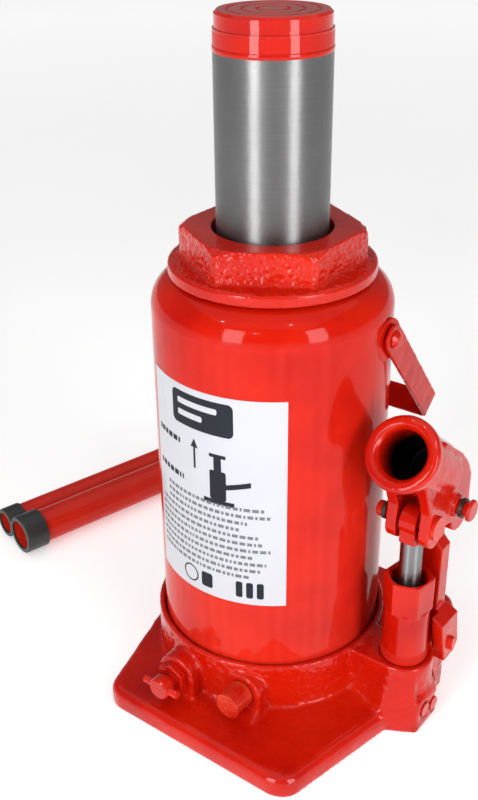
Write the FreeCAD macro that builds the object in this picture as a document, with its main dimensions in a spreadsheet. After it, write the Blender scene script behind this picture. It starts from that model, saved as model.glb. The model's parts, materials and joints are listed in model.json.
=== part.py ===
import FreeCAD, Part
import os
import re
import Sketcher
from FreeCAD import Placement, Rotation, Vector

# Hydraulic bottle jack with a welded reservoir tank, side pump and carrying handle.
# Origin: on the floor, under the axis of the tank.  +Z up, +X towards the pump,
# -Y towards the release valve.  All sizes are in millimetres and degrees.

SIZES = {
    # base casting
    "plate_half_depth": 95.4,
    "plate_pump_corner": 76.0,
    "plate_pump_side": 96.3,
    "plate_rear_corner": 46.3,
    "plate_rear_side": 74.2,
    "plate_thickness": 12.0,
    "plate_corner_round": 13.0,
    "plate_edge_round": 4.5,
    "hub_radius": 66.0,
    "hub_top": 40.5,
    "collar_bore": 62.6,
    "reservoir_floor": 34.0,
    "socket_floor": 18.0,
    # tank
    "tank_radius": 62.0,
    "tank_wall": 3.0,
    "tank_top": 243.5,
    "tank_shoulder": 16.0,
    "tank_mouth": 42.1,
    "gasket_thickness": 1.0,
    "gasket_width": 3.5,
    "gasket_relief": 1.0,
    # pressure cylinder
    "cylinder_bore": 30.0,
    "cylinder_radius": 38.0,
    "cylinder_top": 240.0,
    "cylinder_chamfer": 1.0,
    # top nut
    "nut_flange_radius": 52.7,
    "nut_flange_low": 244.0,
    "nut_flange_top": 250.5,
    "nut_top": 267.0,
    "nut_skirt_radius": 42.0,
    "nut_skirt_low": 226.0,
    "nut_corner": 48.0,
    "nut_corner_round": 6.0,
    "nut_turn": 30.0,
    "nut_chamfer_radius": 43.5,
    "nut_chamfer_drop": 3.5,
    "nut_recess_radius": 30.3,
    "nut_recess_floor": 259.0,
    "wiper_low": 254.0,
    "wiper_radius": 33.0,
    "o_ring_low": 246.0,
    "o_ring_height": 3.4,
    "o_ring_radius": 31.5,
    # ram, drawn 83 mm above its lowest place
    "ram_radius": 28.0,
    "ram_low": 105.0,
    "ram_top": 359.0,
    "ram_bore": 16.0,
    "ram_bore_floor": 140.0,
    "piston_radius": 29.95,
    "piston_height": 20.0,
    "cup_seal_low": 4.0,
    "cup_seal_height": 6.0,
    "cup_seal_inner": 25.0,
    "wear_ring_low": 13.0,
    "wear_ring_height": 4.0,
    "wear_ring_inner": 27.0,
    "saddle_radius": 27.2,
    "saddle_bead": 27.9,
    "saddle_bead_height": 1.3,
    "saddle_top": 368.0,
    "saddle_chamfer": 1.3,
    "saddle_spigot_length": 20.0,
    "saddle_groove_start": 0.6,
    "saddle_groove_pitch": 6.9,
    "saddle_groove_depth": 0.9,
    # pump
    "pump_x": 88.5,
    "pump_y": 1.0,
    "boss_radius": 16.3,
    "boss_top": 40.0,
    "boss_foot_reach": 107.0,
    "boss_foot_front": 13.0,
    "boss_foot_back": 9.0,
    "boss_foot_heel": 19.0,
    "boss_foot_flank": 23.0,
    "boss_foot_top": 20.0,
    "boss_foot_root": 4.5,
    "boss_lean_top": 36.0,
    "boss_lean_end": 15.0,
    "boss_wall_heading": -107.6,
    "boss_wall_reach": 22.9,
    "boss_front_heading": -61.6,
    "boss_front_reach": 21.1,
    "boss_corner_heading": -15.0,
    "boss_corner_reach": 21.6,
    "neck_start": 30.0,
    "neck_back": 12.0,
    "pump_radius": 12.4,
    "pump_shoulder": 18.0,
    "pump_chamber_radius": 9.0,
    "pump_chamber_floor": 15.0,
    "pump_washer_height": 1.2,
    "pump_hex_low": 72.0,
    "pump_hex_top": 92.0,
    "pump_hex_corner": 13.6,
    "pump_hex_chamfer": 12.8,
    "pump_hex_turn": 20.0,
    "pump_gland_radius": 9.5,
    "pump_gland_floor": 79.0,
    "pump_gland_bevel": 1.4,
    "pump_seal_height": 5.0,
    "plunger_radius": 6.0,
    "plunger_low": 30.0,
    "plunger_chamfer": 1.0,
    "plunger_head_low": 115.0,
    "plunger_head_half": 4.5,
    "plunger_head_radius": 7.8,
    "plunger_head_side": 6.4,
    "plunger_eye": 4.9,
    # lever linkage
    "link_y": 21.5,
    "lug_pin_z": 40.5,
    "fulcrum_z": 129.5,
    "piston_pin_z": 126.5,
    "pin_radius": 4.0,
    "piston_pin_radius": 3.5,
    "lug_half": 10.5,
    "lug_radius": 7.7,
    "lug_back": 31.0,
    "link_half": 10.0,
    "link_eye_half": 6.2,
    "link_eye_radius": 8.0,
    "link_depth": 9.5,
    "link_neck_low": 62.0,
    "link_neck_high": 66.0,
    "link_shoulder_top": 22.5,
    "link_fork_top": 12.0,
    "ear_inner": 10.8,
    "ear_outer": 17.5,
    "ear_top": 18.0,
    "ear_front": 11.8,
    "ear_back": 6.4,
    "ear_heel": 10.1,
    "ear_toe": 5.6,
    "ear_low": 9.6,
    "ear_heel_low": 5.1,
    "lug_pin_tenon": 2.2,
    "lug_pin_tenon_width": 3.0,
    "lug_pin_tenon_height": 7.2,
    "fork_inner": 6.5,
    "fork_outer": 12.5,
    "fork_front_y": 35.0,
    "fork_front_z": 27.5,
    "fork_shin_y": 27.0,
    "fork_shin_z": 7.0,
    "fork_nose_y": 20.3,
    "fork_nose_z": 7.0,
    "fork_nose_radius": 8.2,
    "fork_notch_y": 4.5,
    "fork_notch_z": 9.5,
    "fork_heel_y": 7.5,
    "fork_heel_z": 9.0,
    "fork_heel_radius": 10.0,
    "fork_back_z": 10.5,
    "fork_crown_y": 12.7,
    "fork_crown_z": 20.0,
    "fork_ridge_y": 4.5,
    "fork_ridge_z": 29.0,
    "fork_top_y": 16.5,
    "fork_top_z": 45.0,
    "fork_collar_radius": 6.2,
    "fork_collar_height": 2.6,
    # handle socket of the lever
    "socket_y": 40.2,
    "socket_z": 46.2,
    "socket_tilt": 37.0,
    "socket_radius": 16.3,
    "socket_bore": 12.3,
    "socket_depth": 44.0,
    "socket_length": 50.0,
    "socket_end_round": 5.0,
    "socket_rim_radius": 19.3,
    "socket_rim_width": 6.0,
    "socket_rim_taper": 3.0,
    "socket_rim_round": 2.6,
    "socket_mouth_flare": 2.2,
    "socket_mouth_depth": 3.0,
    # pin ends
    "link_pin_start": 13.3,
    "link_pin_head": 21.0,
    "link_pin_head_radius": 6.0,
    "link_pin_head_height": 2.0,
    "pin_end_round": 1.2,
    "link_clip_start": 16.4,
    "clip_width": 2.0,
    "clip_band": 1.3,
    "piston_pin_head_radius": 6.5,
    "piston_pin_head_height": 2.0,
    "piston_pin_end": 20.5,
    "piston_pin_bulb": 4.3,
    "piston_pin_bulb_height": 3.4,
    "piston_clip_start": 14.6,
    # valves on the front of the base
    "valve_z": 24.0,
    "valve_boss_inner": 40.0,
    "release_x": 12.0,
    "release_face": 75.0,
    "release_boss_radius": 12.0,
    "release_seat": 50.0,
    "release_bore": 5.1,
    "release_stem": 5.02,
    "release_stem_start": 56.0,
    "release_thread_end": 80.0,
    "release_neck": 4.3,
    "release_knob_start": 84.0,
    "release_knob_end": 90.0,
    "release_knob": 6.4,
    "release_knob_chamfer": 0.8,
    "release_gland_height": 4.5,
    "release_gland_corner": 9.4,
    "release_gland_turn": 30.0,
    "cross_pin_radius": 2.2,
    "cross_pin_half": 11.6,
    "cross_pin_place": 86.8,
    "valve_ball": 3.0,
    "valve_port": 1.6,
    "valve_port_offset": 4.2,
    "valve_gallery_z": 9.0,
    "release_riser_y": 26.0,
    "safety_riser_y": 13.0,
    "release_o_ring_place": 66.0,
    "release_o_ring_inner": 3.6,
    "release_o_ring_width": 2.4,
    "safety_x": 26.0,
    "safety_face": 64.0,
    "safety_boss_radius": 11.5,
    "safety_foot": 71.5,
    "safety_seat": 46.0,
    "safety_bore": 6.6,
    "safety_thread_start": 55.0,
    "safety_head_end": 77.5,
    "safety_head": 7.4,
    "safety_well": 4.6,
    "safety_well_floor": 70.0,
    "spring_radius": 3.0,
    "spring_wire": 0.55,
    "spring_turns": 6.0,
    # oil galleries of the base
    "gallery_radius": 2.2,
    "riser_radius": 1.9,
    "suction_y": 6.0,
    "suction_z": 8.0,
    "suction_riser_x": 50.0,
    "suction_ball": 3.3,
    "suction_well": 3.6,
    "suction_well_floor": 12.0,
    "delivery_y": 4.0,
    "delivery_z": 11.0,
    "delivery_riser_x": 20.0,
    "delivery_ball": 4.0,
    "delivery_well": 4.3,
    "delivery_well_floor": 14.0,
    "plug_radius": 4.0,
    "plug_length": 6.5,
    "screen_radius": 5.0,
    "screen_height": 1.2,
    # oil filler
    "filler_angle": 120.0,
    "filler_z": 212.0,
    "filler_hole": 6.05,
    "filler_stem": 6.0,
    "filler_flange": 8.5,
    "filler_flange_height": 2.2,
    "filler_flange_round": 1.2,
    # carrying handle
    "bail_y": 13.0,
    "bail_z": 217.0,
    "bail_lean": 41.5,
    "bail_width": 14.4,
    "bail_strip": 1.9,
    "bail_inner_top": 63.5,
    "bail_inner_low": 58.2,
    "bail_length": 83.0,
    "bail_end": 8.0,
    "bail_bend": 4.0,
    "rivet_radius": 3.0,
    "rivet_start": 61.3,
    "rivet_head_start": 65.4,
    "rivet_head_radius": 5.0,
    "rivet_head_height": 2.3,
    "rivet_head_taper": 2.5,
    "ear_plate_start": 50.0,
    "ear_plate_face": 62.3,
    "ear_plate_radius": 11.0,
    "ear_plate_y": 12.0,
    "ear_plate_z": 216.5,
    # pump handle, two tubes on the floor
    "tube_x": -194.0,
    "tube_y": -22.8,
    "tube_heading": 76.0,
    "tube_wall": 1.5,
    "tube_length": 340.0,
    "front_tube_radius": 11.5,
    "front_sleeve_radius": 13.2,
    "front_sleeve_length": 14.5,
    "rear_tube_radius": 9.0,
    "rear_sleeve_radius": 10.3,
    "rear_sleeve_length": 11.5,
    "rear_tube_across": 23.6,
    "rear_tube_along": 1.0,
    "sleeve_lip": 1.5,
    "sleeve_lip_width": 1.4,
    "sleeve_end_round": 0.8,
    "sleeve_floor_gap": 0.1,
    # label on the tank
    "label_low": 79.5,
    "label_height": 121.0,
    "label_start": -125.5,
    "label_sweep": 78.0,
    "label_thickness": 0.25,
    # clearances, and how far a cutting shape reaches past the face it opens
    "running_gap": 0.05,
    "cut_reach": 1.0,
}

ALONG_X = Rotation(Vector(0, 1, 0), 90)
ALONG_MINUS_Y = Rotation(Vector(1, 0, 0), 90)
TINY = 1e-7

doc = FreeCAD.newDocument("bottle_jack")
sheet = doc.addObject("Spreadsheet::Sheet", "sizes")
pieces = []


def fill_sheet():
    for row, (alias, size) in enumerate(SIZES.items(), 1):
        sheet.set(f"A{row}", alias)
        sheet.set(f"B{row}", str(size))
        sheet.setAlias(f"B{row}", alias)
    doc.recompute()


def formula(text):
    """Write the sheet's name before each of its aliases."""
    return re.sub(r"[a-z_]+", lambda word: f"sizes.{word[0]}" if word[0] in SIZES else word[0], text)


def value(text):
    return float(sheet.evalExpression(formula(text)))


def bind(target, property_name, text):
    target.setExpression(property_name, formula(text))


def place(target, x, y, z, turn=Rotation()):
    """Stand an object at a point whose coordinates come from the sheet."""
    target.Placement = Placement(Vector(0, 0, 0), turn)
    for letter, text in zip("xyz", (x, y, z)):
        bind(target, f"Placement.Base.{letter}", text)


def new_body(name, x="0", y="0", z="0", turn=Rotation()):
    body = doc.addObject("PartDesign::Body", name)
    body.Label = name
    place(body, x, y, z, turn)
    pieces.append(body)
    return body


def new_sketch(body, role, lift="0", across="0", up="0", spin="0", tilt="0", swing="0"):
    """Sketch on one of the body's own planes, moved and turned on that plane."""
    plane = next(item for item in body.Origin.OriginFeatures if item.Role == role)
    sketch = body.newObject("Sketcher::SketchObject", f"{body.Name}_sketch")
    sketch.AttachmentSupport = [(plane, "")]
    sketch.MapMode = "FlatFace"
    turn = Rotation(Vector(0, 1, 0), value(swing))
    for axis, angle in ((Vector(1, 0, 0), tilt), (Vector(0, 0, 1), spin)):
        turn = turn * Rotation(axis, value(angle))
    sketch.AttachmentOffset = Placement(Vector(0, 0, 0), turn)
    for letter, text in zip("xyz", (across, up, lift)):
        bind(sketch, f"AttachmentOffset.Base.{letter}", text)
    return sketch


def pin_point(sketch, geometry, point, x, y):
    """Hold a point of the sketch at two coordinates from the sheet."""
    for kind, axis, text in (("DistanceX", -2, x), ("DistanceY", -1, y)):
        size = value(text)
        if abs(size) < TINY:
            sketch.addConstraint(Sketcher.Constraint("PointOnObject", geometry, point, axis))
            continue
        index = sketch.addConstraint(Sketcher.Constraint(kind, -1, 1, geometry, point, size))
        bind(sketch, f"Constraints[{index}]", text)


def outline(sketch, points):
    """Closed outline with straight sides."""
    corners = [Vector(value(x), value(y), 0) for x, y in points]
    for start, end in zip(corners, corners[1:] + corners[:1]):
        sketch.addGeometry(Part.LineSegment(start, end), False)
    for side in range(len(points)):
        following = (side + 1) % len(points)
        sketch.addConstraint(Sketcher.Constraint("Coincident", side, 2, following, 1))
    for side, (x, y) in enumerate(points):
        pin_point(sketch, side, 1, x, y)
    return sketch


def circle(sketch, x, y, radius):
    centre = Vector(value(x), value(y), 0)
    shape = Part.Circle(centre, Vector(0, 0, 1), value(radius))
    index = sketch.addGeometry(shape, False)
    constraint = sketch.addConstraint(Sketcher.Constraint("Radius", index, value(radius)))
    bind(sketch, f"Constraints[{constraint}]", radius)
    pin_point(sketch, index, 3, x, y)
    return sketch


def hexagon(sketch, corner, turn):
    """Hexagon about the origin, its first corner turned from the sketch's X axis."""
    angles = [f"(({turn} + {60 * step}) * 1 deg)" for step in range(6)]
    return outline(sketch, [(f"{corner} * cos{angle}", f"{corner} * sin{angle}") for angle in angles])


def mirrored(half):
    """Half an outline, and the same points across the vertical axis."""
    return half + [(f"-({x})", y) for x, y in reversed(half)]


def add_feature(body, kind, sketch, grows):
    """Add a sketch-based feature and see that it changes the volume the right way."""
    before = body.Shape.Volume if body.Tip else 0
    feature = body.newObject(f"PartDesign::{kind}", f"{body.Name}_{kind.lower()}")
    feature.Profile = sketch
    sketch.Visibility = False
    return feature, before, grows


def finish_feature(body, step):
    feature, before, grows = step
    doc.recompute()
    change = feature.Shape.Volume - before
    if change * grows <= 0:
        raise ValueError(f"{feature.Name} changed the volume by {change:.3f}")
    return feature


def pad(body, sketch, length, symmetric=False, reverse=False):
    step = add_feature(body, "Pad", sketch, 1)
    bind(step[0], "Length", length)
    step[0].SideType = "Symmetric" if symmetric else "One side"
    step[0].Reversed = reverse
    return finish_feature(body, step)


def pocket(body, sketch, length, symmetric=False):
    """Cut from the sketch against its normal, or to both sides of it."""
    step = add_feature(body, "Pocket", sketch, -1)
    bind(step[0], "Length", length)
    step[0].SideType = "Symmetric" if symmetric else "One side"
    return finish_feature(body, step)


def revolve(body, sketch, kind="Revolution"):
    """Turn an outline about the sketch's vertical axis; kind Groove cuts."""
    step = add_feature(body, kind, sketch, 1 if kind == "Revolution" else -1)
    step[0].ReferenceAxis = (sketch, ["V_Axis"])
    step[0].Angle = 360
    return finish_feature(body, step)


def soften(body, kind, chosen, size):
    """Fillet or chamfer the edges of the body that the test picks."""
    base = body.Tip
    names = [f"Edge{i}" for i, edge in enumerate(base.Shape.Edges, 1) if chosen(edge)]
    if not names:
        raise ValueError(f"no edge of {body.Name} to soften")
    feature = body.newObject(f"PartDesign::{kind}", f"{body.Name}_{kind.lower()}")
    feature.Base = (base, names)
    bind(feature, "Radius" if kind == "Fillet" else "Size", size)
    doc.recompute()
    return feature


def ring_at(radius, height):
    """Test for a whole circle of this radius about the Z axis at this height."""
    size = value(radius)
    level = value(height)

    def test(edge):
        if not isinstance(edge.Curve, Part.Circle):
            return False
        return abs(edge.Curve.Radius - size) < 0.01 and abs(edge.Curve.Center.z - level) < 0.01

    return test


def upright(edge):
    box = edge.BoundBox
    return box.ZLength > 1 and box.XLength < 0.01 and box.YLength < 0.01


def turned(name, points, x="0", y="0", z="0", turn=Rotation()):
    """Body of revolution from an outline of radius and height pairs."""
    body = new_body(name, x, y, z, turn)
    revolve(body, outline(new_sketch(body, "XZ_Plane"), points))
    return body


def ring(name, inner, outer, low, high, x="0", y="0", z="0", turn=Rotation()):
    return turned(name, [(inner, low), (outer, low), (outer, high), (inner, high)], x, y, z, turn)


def ball(name, radius, x, y, z):
    body = doc.addObject("Part::Sphere", name)
    body.Label = name
    bind(body, "Radius", radius)
    place(body, x, y, z)
    pieces.append(body)
    return body


def rod(radius, length, x, y, z, turn=Rotation()):
    """Plain cylinder used inside a Part boolean or group."""
    shape = doc.addObject("Part::Cylinder", "rod")
    bind(shape, "Radius", radius)
    bind(shape, "Height", length)
    place(shape, x, y, z, turn)
    return shape


def cut(base, tool):
    result = doc.addObject("Part::Cut", "cut")
    result.Base = base
    result.Tool = tool
    return result


def fuse(first, second):
    result = doc.addObject("Part::Fuse", "fuse")
    result.Base = first
    result.Tool = second
    return result


def group(name, shapes):
    """Several separate solids that are one node."""
    compound = doc.addObject("Part::Compound", name)
    compound.Label = name
    compound.Links = shapes
    pieces.append(compound)
    return compound


# ---------------------------------------------------------------- base casting


def base_plate(body):
    """Six-sided foot plate with rounded corners and a rounded top edge."""
    points = [
        ("plate_pump_corner", "-plate_half_depth"),
        ("plate_pump_side", "0"),
        ("plate_pump_corner", "plate_half_depth"),
        ("-plate_rear_corner", "plate_half_depth"),
        ("-plate_rear_side", "0"),
        ("-plate_rear_corner", "-plate_half_depth"),
    ]
    pad(body, outline(new_sketch(body, "XY_Plane"), points), "plate_thickness")
    soften(body, "Fillet", upright, "plate_corner_round")
    top = value("plate_thickness")
    soften(body, "Fillet", lambda edge: abs(edge.BoundBox.ZMin - top) < 0.01, "plate_edge_round")


def base_foot(body):
    """Foot of the pump boss; its front sides lean in above the plate to meet the boss."""
    front = [
        ("neck_start", "-boss_foot_root"),
        ("pump_x", "-boss_foot_flank"),
        ("boss_foot_reach", "-boss_foot_front"),
    ]
    rear = [
        ("boss_foot_reach", "boss_foot_back"),
        ("pump_x + lug_half", "boss_foot_heel"),
        ("pump_x", "boss_foot_flank"),
        ("neck_start", "boss_foot_flank"),
    ]
    axis = [("pump_x", "pump_y"), ("neck_start", "pump_y")]
    for points, top in ((front + rear, "boss_foot_top"), (front + axis, "boss_lean_top")):
        pad(body, outline(new_sketch(body, "XY_Plane"), points), top)
    for side in ("wall", "front", "corner"):
        sketch = new_sketch(body, "XZ_Plane", "-pump_y", "pump_x", swing=f"boss_{side}_heading")
        pocket(body, outline(sketch, [
            (f"boss_{side}_reach", "plate_thickness"),
            ("boss_lean_end", "boss_top"),
            ("hub_radius", "boss_top"),
            ("hub_radius", "plate_thickness"),
        ]), "4 * hub_radius", symmetric=True)


def base_hub(body):
    """Round hub under the tank, with the neck and the boss for the pump."""
    pad(body, circle(new_sketch(body, "XY_Plane"), "0", "0", "hub_radius"), "hub_top")
    neck = [
        ("neck_start", "pump_y - boss_radius"),
        ("pump_x", "pump_y - boss_radius"),
        ("pump_x", "neck_back"),
        ("neck_start", "neck_back"),
    ]
    pad(body, outline(new_sketch(body, "XY_Plane"), neck), "boss_top")
    pad(body, circle(new_sketch(body, "XY_Plane"), "pump_x", "pump_y", "boss_radius"), "boss_top")


def base_lug(body):
    """Lug behind the pump that carries the link's lower pin."""
    side = [
        ("pump_y", "0"),
        ("lug_back", "0"),
        ("lug_back", "boss_foot_top"),
        ("link_y + lug_radius", "lug_pin_z"),
        ("pump_y", "lug_pin_z - 1"),
    ]
    width = "2 * lug_half"
    pad(body, outline(new_sketch(body, "YZ_Plane", "pump_x"), side), width, symmetric=True)
    eye = circle(new_sketch(body, "YZ_Plane", "pump_x"), "link_y", "lug_pin_z", "lug_radius")
    pad(body, eye, width, symmetric=True)


def valve_boss(body, x, radius, face):
    """Upright boss on the front of the hub with a round top."""
    length = f"{face} - valve_boss_inner"
    stem = [
        (f"{x} - {radius}", "0"),
        (f"{x} + {radius}", "0"),
        (f"{x} + {radius}", "valve_z"),
        (f"{x} - {radius}", "valve_z"),
    ]
    pad(body, outline(new_sketch(body, "XZ_Plane", "valve_boss_inner"), stem), length)
    pad(body, circle(new_sketch(body, "XZ_Plane", "valve_boss_inner"), x, "valve_z", radius), length)


def safety_foot(body):
    """Sloped skirt under the safety valve's boss."""
    side = [
        ("-valve_boss_inner", "0"),
        ("-safety_foot", "0"),
        ("-safety_foot", "plate_thickness"),
        ("-safety_face", "valve_z - safety_head - 1"),
        ("-valve_boss_inner", "valve_z - safety_head - 1"),
    ]
    sketch = outline(new_sketch(body, "YZ_Plane", "safety_x"), side)
    pad(body, sketch, "2 * safety_boss_radius", symmetric=True)


def drill(body, role, lift, across, up, radius, depth):
    pocket(body, circle(new_sketch(body, role, lift), across, up, radius), depth)


def base_bores(body):
    """Seats for the tank, the pressure cylinder and the pump."""
    drill(body, "XY_Plane", "hub_top", "0", "0", "collar_bore", "hub_top - reservoir_floor")
    socket = "cylinder_radius + running_gap"
    drill(body, "XY_Plane", "reservoir_floor", "0", "0", socket, "reservoir_floor - socket_floor")
    bore = "pump_radius + running_gap"
    drill(body, "XY_Plane", "boss_top", "pump_x", "pump_y", bore, "boss_top - pump_shoulder")
    chamber = "pump_shoulder - pump_chamber_floor"
    drill(body, "XY_Plane", "pump_shoulder", "pump_x", "pump_y", "pump_chamber_radius", chamber)
    eye = "pin_radius + running_gap"
    drill(body, "YZ_Plane", "pump_x + lug_half", "link_y", "lug_pin_z", eye, "2 * lug_half + cut_reach")


def base_galleries(body):
    """Suction gallery from the reservoir and delivery gallery to the cylinder."""
    face = "boss_foot_reach"
    floor = "pump_chamber_floor"
    drill(body, "YZ_Plane", face, "suction_y", "suction_z", "gallery_radius", f"{face} - suction_riser_x")
    riser = "reservoir_floor - suction_z"
    drill(body, "XY_Plane", "reservoir_floor", "suction_riser_x", "suction_y", "riser_radius", riser)
    well = f"{floor} - suction_well_floor"
    drill(body, "XY_Plane", floor, "pump_x", "suction_y", "suction_well", well)
    drill(body, "XY_Plane", floor, "pump_x", "suction_y", "riser_radius", f"{floor} - suction_z")
    length = f"{face} - delivery_riser_x"
    drill(body, "YZ_Plane", face, "-delivery_y", "delivery_z", "gallery_radius", length)
    port = f"{floor} - delivery_z"
    drill(body, "XY_Plane", floor, "pump_x - delivery_y", "-delivery_y", "valve_port", port)
    well = "socket_floor - delivery_well_floor"
    drill(body, "XY_Plane", "socket_floor", "delivery_riser_x", "-delivery_y", "delivery_well", well)
    riser = "socket_floor - delivery_z"
    drill(body, "XY_Plane", "socket_floor", "delivery_riser_x", "-delivery_y", "riser_radius", riser)
    for y, z in (("suction_y", "suction_z"), ("-delivery_y", "delivery_z")):
        drill(body, "YZ_Plane", face, y, z, "plug_radius", "plug_length")


def valve_bore(body, x, face, seat, bore, riser_y):
    """Valve bore, its return port to the reservoir and its sloped port to the cylinder."""
    drill(body, "XZ_Plane", face, x, "valve_z", bore, f"{face} - {seat}")
    down = "reservoir_floor - valve_z"
    drill(body, "XY_Plane", "reservoir_floor", x, f"-({seat} + valve_port_offset)", "valve_port", down)
    drop = "(valve_z - valve_gallery_z)"
    run = f"({seat} - {riser_y})"
    slope = f"atan({drop} / {run})"
    start = f"{seat} + valve_ball * cos({slope})"
    height = f"valve_z + valve_ball * sin({slope})"
    port = new_sketch(body, "XZ_Plane", start, x, height, tilt=f"-{slope}")
    length = f"valve_ball + sqrt({drop} ^ 2 + {run} ^ 2)"
    pocket(body, circle(port, "0", "0", "valve_port"), length)
    riser = "socket_floor - valve_gallery_z"
    drill(body, "XY_Plane", "socket_floor", x, f"-{riser_y}", "valve_port", riser)


def base_casting():
    body = new_body("base_casting")
    base_plate(body)
    base_foot(body)
    base_hub(body)
    base_lug(body)
    valve_boss(body, "-release_x", "release_boss_radius", "release_face")
    valve_boss(body, "safety_x", "safety_boss_radius", "safety_face")
    safety_foot(body)
    base_bores(body)
    base_galleries(body)
    valve_bore(body, "-release_x", "release_face", "release_seat", "release_bore", "release_riser_y")
    valve_bore(body, "safety_x", "safety_face", "safety_seat", "safety_bore", "safety_riser_y")


# ---------------------------------------------------------------- tank, cylinder and nut


def tank_tube():
    """Reservoir tube with a rounded shoulder and the filler hole."""
    inner = "tank_radius - tank_wall"
    under = "tank_top - tank_wall"
    low = "reservoir_floor + gasket_thickness"
    body = turned("tank_tube", [
        (inner, low),
        ("tank_radius", low),
        ("tank_radius", "tank_top"),
        ("tank_mouth", "tank_top"),
        ("tank_mouth", under),
        (inner, under),
    ])
    soften(body, "Fillet", ring_at("tank_radius", "tank_top"), "tank_shoulder")
    soften(body, "Fillet", ring_at(inner, under), "tank_shoulder - tank_wall")
    across, lift = (f"(tank_radius + cut_reach) * {part}(filler_angle * 1 deg)" for part in ("sin", "cos"))
    sketch = new_sketch(body, "YZ_Plane", lift, across, "filler_z", swing="filler_angle")
    pocket(body, circle(sketch, "0", "0", "filler_hole"), "tank_wall + 3 * cut_reach")


def tank_gaskets():
    """Flat rings under the tank and between the tank and the nut."""
    low = "reservoir_floor"
    ring("tank_gasket_lower", "tank_radius - gasket_width", "tank_radius", low, f"{low} + gasket_thickness")
    ring("tank_gasket_upper", "tank_mouth", "tank_mouth + gasket_width", "tank_top", "nut_flange_low")
    top = "socket_floor + gasket_thickness"
    ring("cylinder_gasket", "cylinder_bore + gasket_relief", "cylinder_radius", "socket_floor", top)


def pressure_cylinder():
    low = "socket_floor + gasket_thickness"
    body = ring("pressure_cylinder", "cylinder_bore", "cylinder_radius", low, "cylinder_top")
    soften(body, "Chamfer", ring_at("cylinder_radius", "cylinder_top"), "cylinder_chamfer")


def nut_blank(body):
    """Flange, threaded skirt and six-sided head of the top nut."""
    guide = "ram_radius + running_gap"
    thread = "cylinder_radius + running_gap"
    seat = "cylinder_top + running_gap"
    revolve(body, outline(new_sketch(body, "XZ_Plane"), [
        (thread, "nut_skirt_low"),
        ("nut_skirt_radius", "nut_skirt_low"),
        ("nut_skirt_radius", "nut_flange_low"),
        ("nut_flange_radius", "nut_flange_low"),
        ("nut_flange_radius", "nut_flange_top"),
        (guide, "nut_flange_top"),
        (guide, seat),
        (thread, seat),
    ]))
    head = hexagon(new_sketch(body, "XY_Plane", "nut_flange_top"), "nut_corner", "nut_turn")
    pad(body, head, "nut_top - nut_flange_top")

    def corner(edge):
        x, y, z = edge.Vertexes[0].Point
        return upright(edge) and Vector(x, y, 0).Length > value("nut_corner - cut_reach")

    soften(body, "Fillet", corner, "nut_corner_round")
    revolve(body, outline(new_sketch(body, "XZ_Plane"), [
        ("nut_chamfer_radius", "nut_top"),
        ("nut_corner + cut_reach", "nut_top"),
        ("nut_corner + cut_reach", "nut_top - nut_chamfer_drop"),
    ]), "Groove")


def top_nut():
    """Nut that clamps the tank and guides the ram."""
    body = new_body("top_nut")
    nut_blank(body)
    depth = "nut_top - nut_flange_top"
    drill(body, "XY_Plane", "nut_top", "0", "0", "ram_radius + running_gap", depth)
    drill(body, "XY_Plane", "nut_top", "0", "0", "nut_recess_radius", "nut_top - nut_recess_floor")
    grooves = (
        ("wiper_radius", "wiper_low", "nut_recess_floor"),
        ("o_ring_radius", "o_ring_low", "o_ring_low + o_ring_height"),
    )
    inner = "ram_radius - cut_reach"
    for radius, low, high in grooves:
        points = [(inner, low), (radius, low), (radius, high), (inner, high)]
        revolve(body, outline(new_sketch(body, "XZ_Plane"), points), "Groove")


def nut_seals():
    """Wiper and O-ring that the ram slides through."""
    gap = "running_gap"
    inner = f"ram_radius + {gap}"
    ring("wiper_seal", inner, f"wiper_radius - {gap}", f"wiper_low + {gap}", f"nut_recess_floor - {gap}")
    top = f"o_ring_low + o_ring_height - {gap}"
    ring("nut_o_ring", inner, f"o_ring_radius - {gap}", f"o_ring_low + {gap}", top)


def filler_plug():
    """Rubber plug in the tank's filler hole."""
    turn = Rotation(Vector(0, 0, 1), value("filler_angle")) * ALONG_X
    inside = "tank_radius - tank_wall - cut_reach"
    face = "tank_radius + filler_flange_height"
    body = turned("filler_plug", [
        ("0", inside),
        ("filler_stem", inside),
        ("filler_stem", "tank_radius + running_gap"),
        ("filler_flange", "tank_radius + running_gap"),
        ("filler_flange", face),
        ("0", face),
    ], z="filler_z", turn=turn)
    soften(body, "Fillet", ring_at("filler_flange", face), "filler_flange_round")


# ---------------------------------------------------------------- ram


def ram():
    """Hollow ram with a piston foot that carries two rings."""
    seal = "ram_low + cup_seal_low"
    wear = "ram_low + wear_ring_low"
    top = "ram_low + piston_height"
    turned("ram", [
        ("0", "ram_low"),
        ("piston_radius", "ram_low"),
        ("piston_radius", seal),
        ("cup_seal_inner", seal),
        ("cup_seal_inner", f"{seal} + cup_seal_height"),
        ("piston_radius", f"{seal} + cup_seal_height"),
        ("piston_radius", wear),
        ("wear_ring_inner", wear),
        ("wear_ring_inner", f"{wear} + wear_ring_height"),
        ("piston_radius", f"{wear} + wear_ring_height"),
        ("piston_radius", top),
        ("ram_radius", top),
        ("ram_radius", "ram_top"),
        ("ram_bore", "ram_top"),
        ("ram_bore", "ram_bore_floor"),
        ("0", "ram_bore_floor"),
    ])


def ram_rings():
    """Cup seal and wear ring in the piston's grooves."""
    gap = "running_gap"
    for name, inner, low, height in (
        ("ram_cup_seal", "cup_seal_inner", "cup_seal_low", "cup_seal_height"),
        ("ram_wear_ring", "wear_ring_inner", "wear_ring_low", "wear_ring_height"),
    ):
        start = f"ram_low + {low} + {gap}"
        end = f"ram_low + {low} + {height} - {gap}"
        ring(name, f"{inner} + {gap}", "cylinder_bore - running_gap / 2", start, end)


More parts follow.
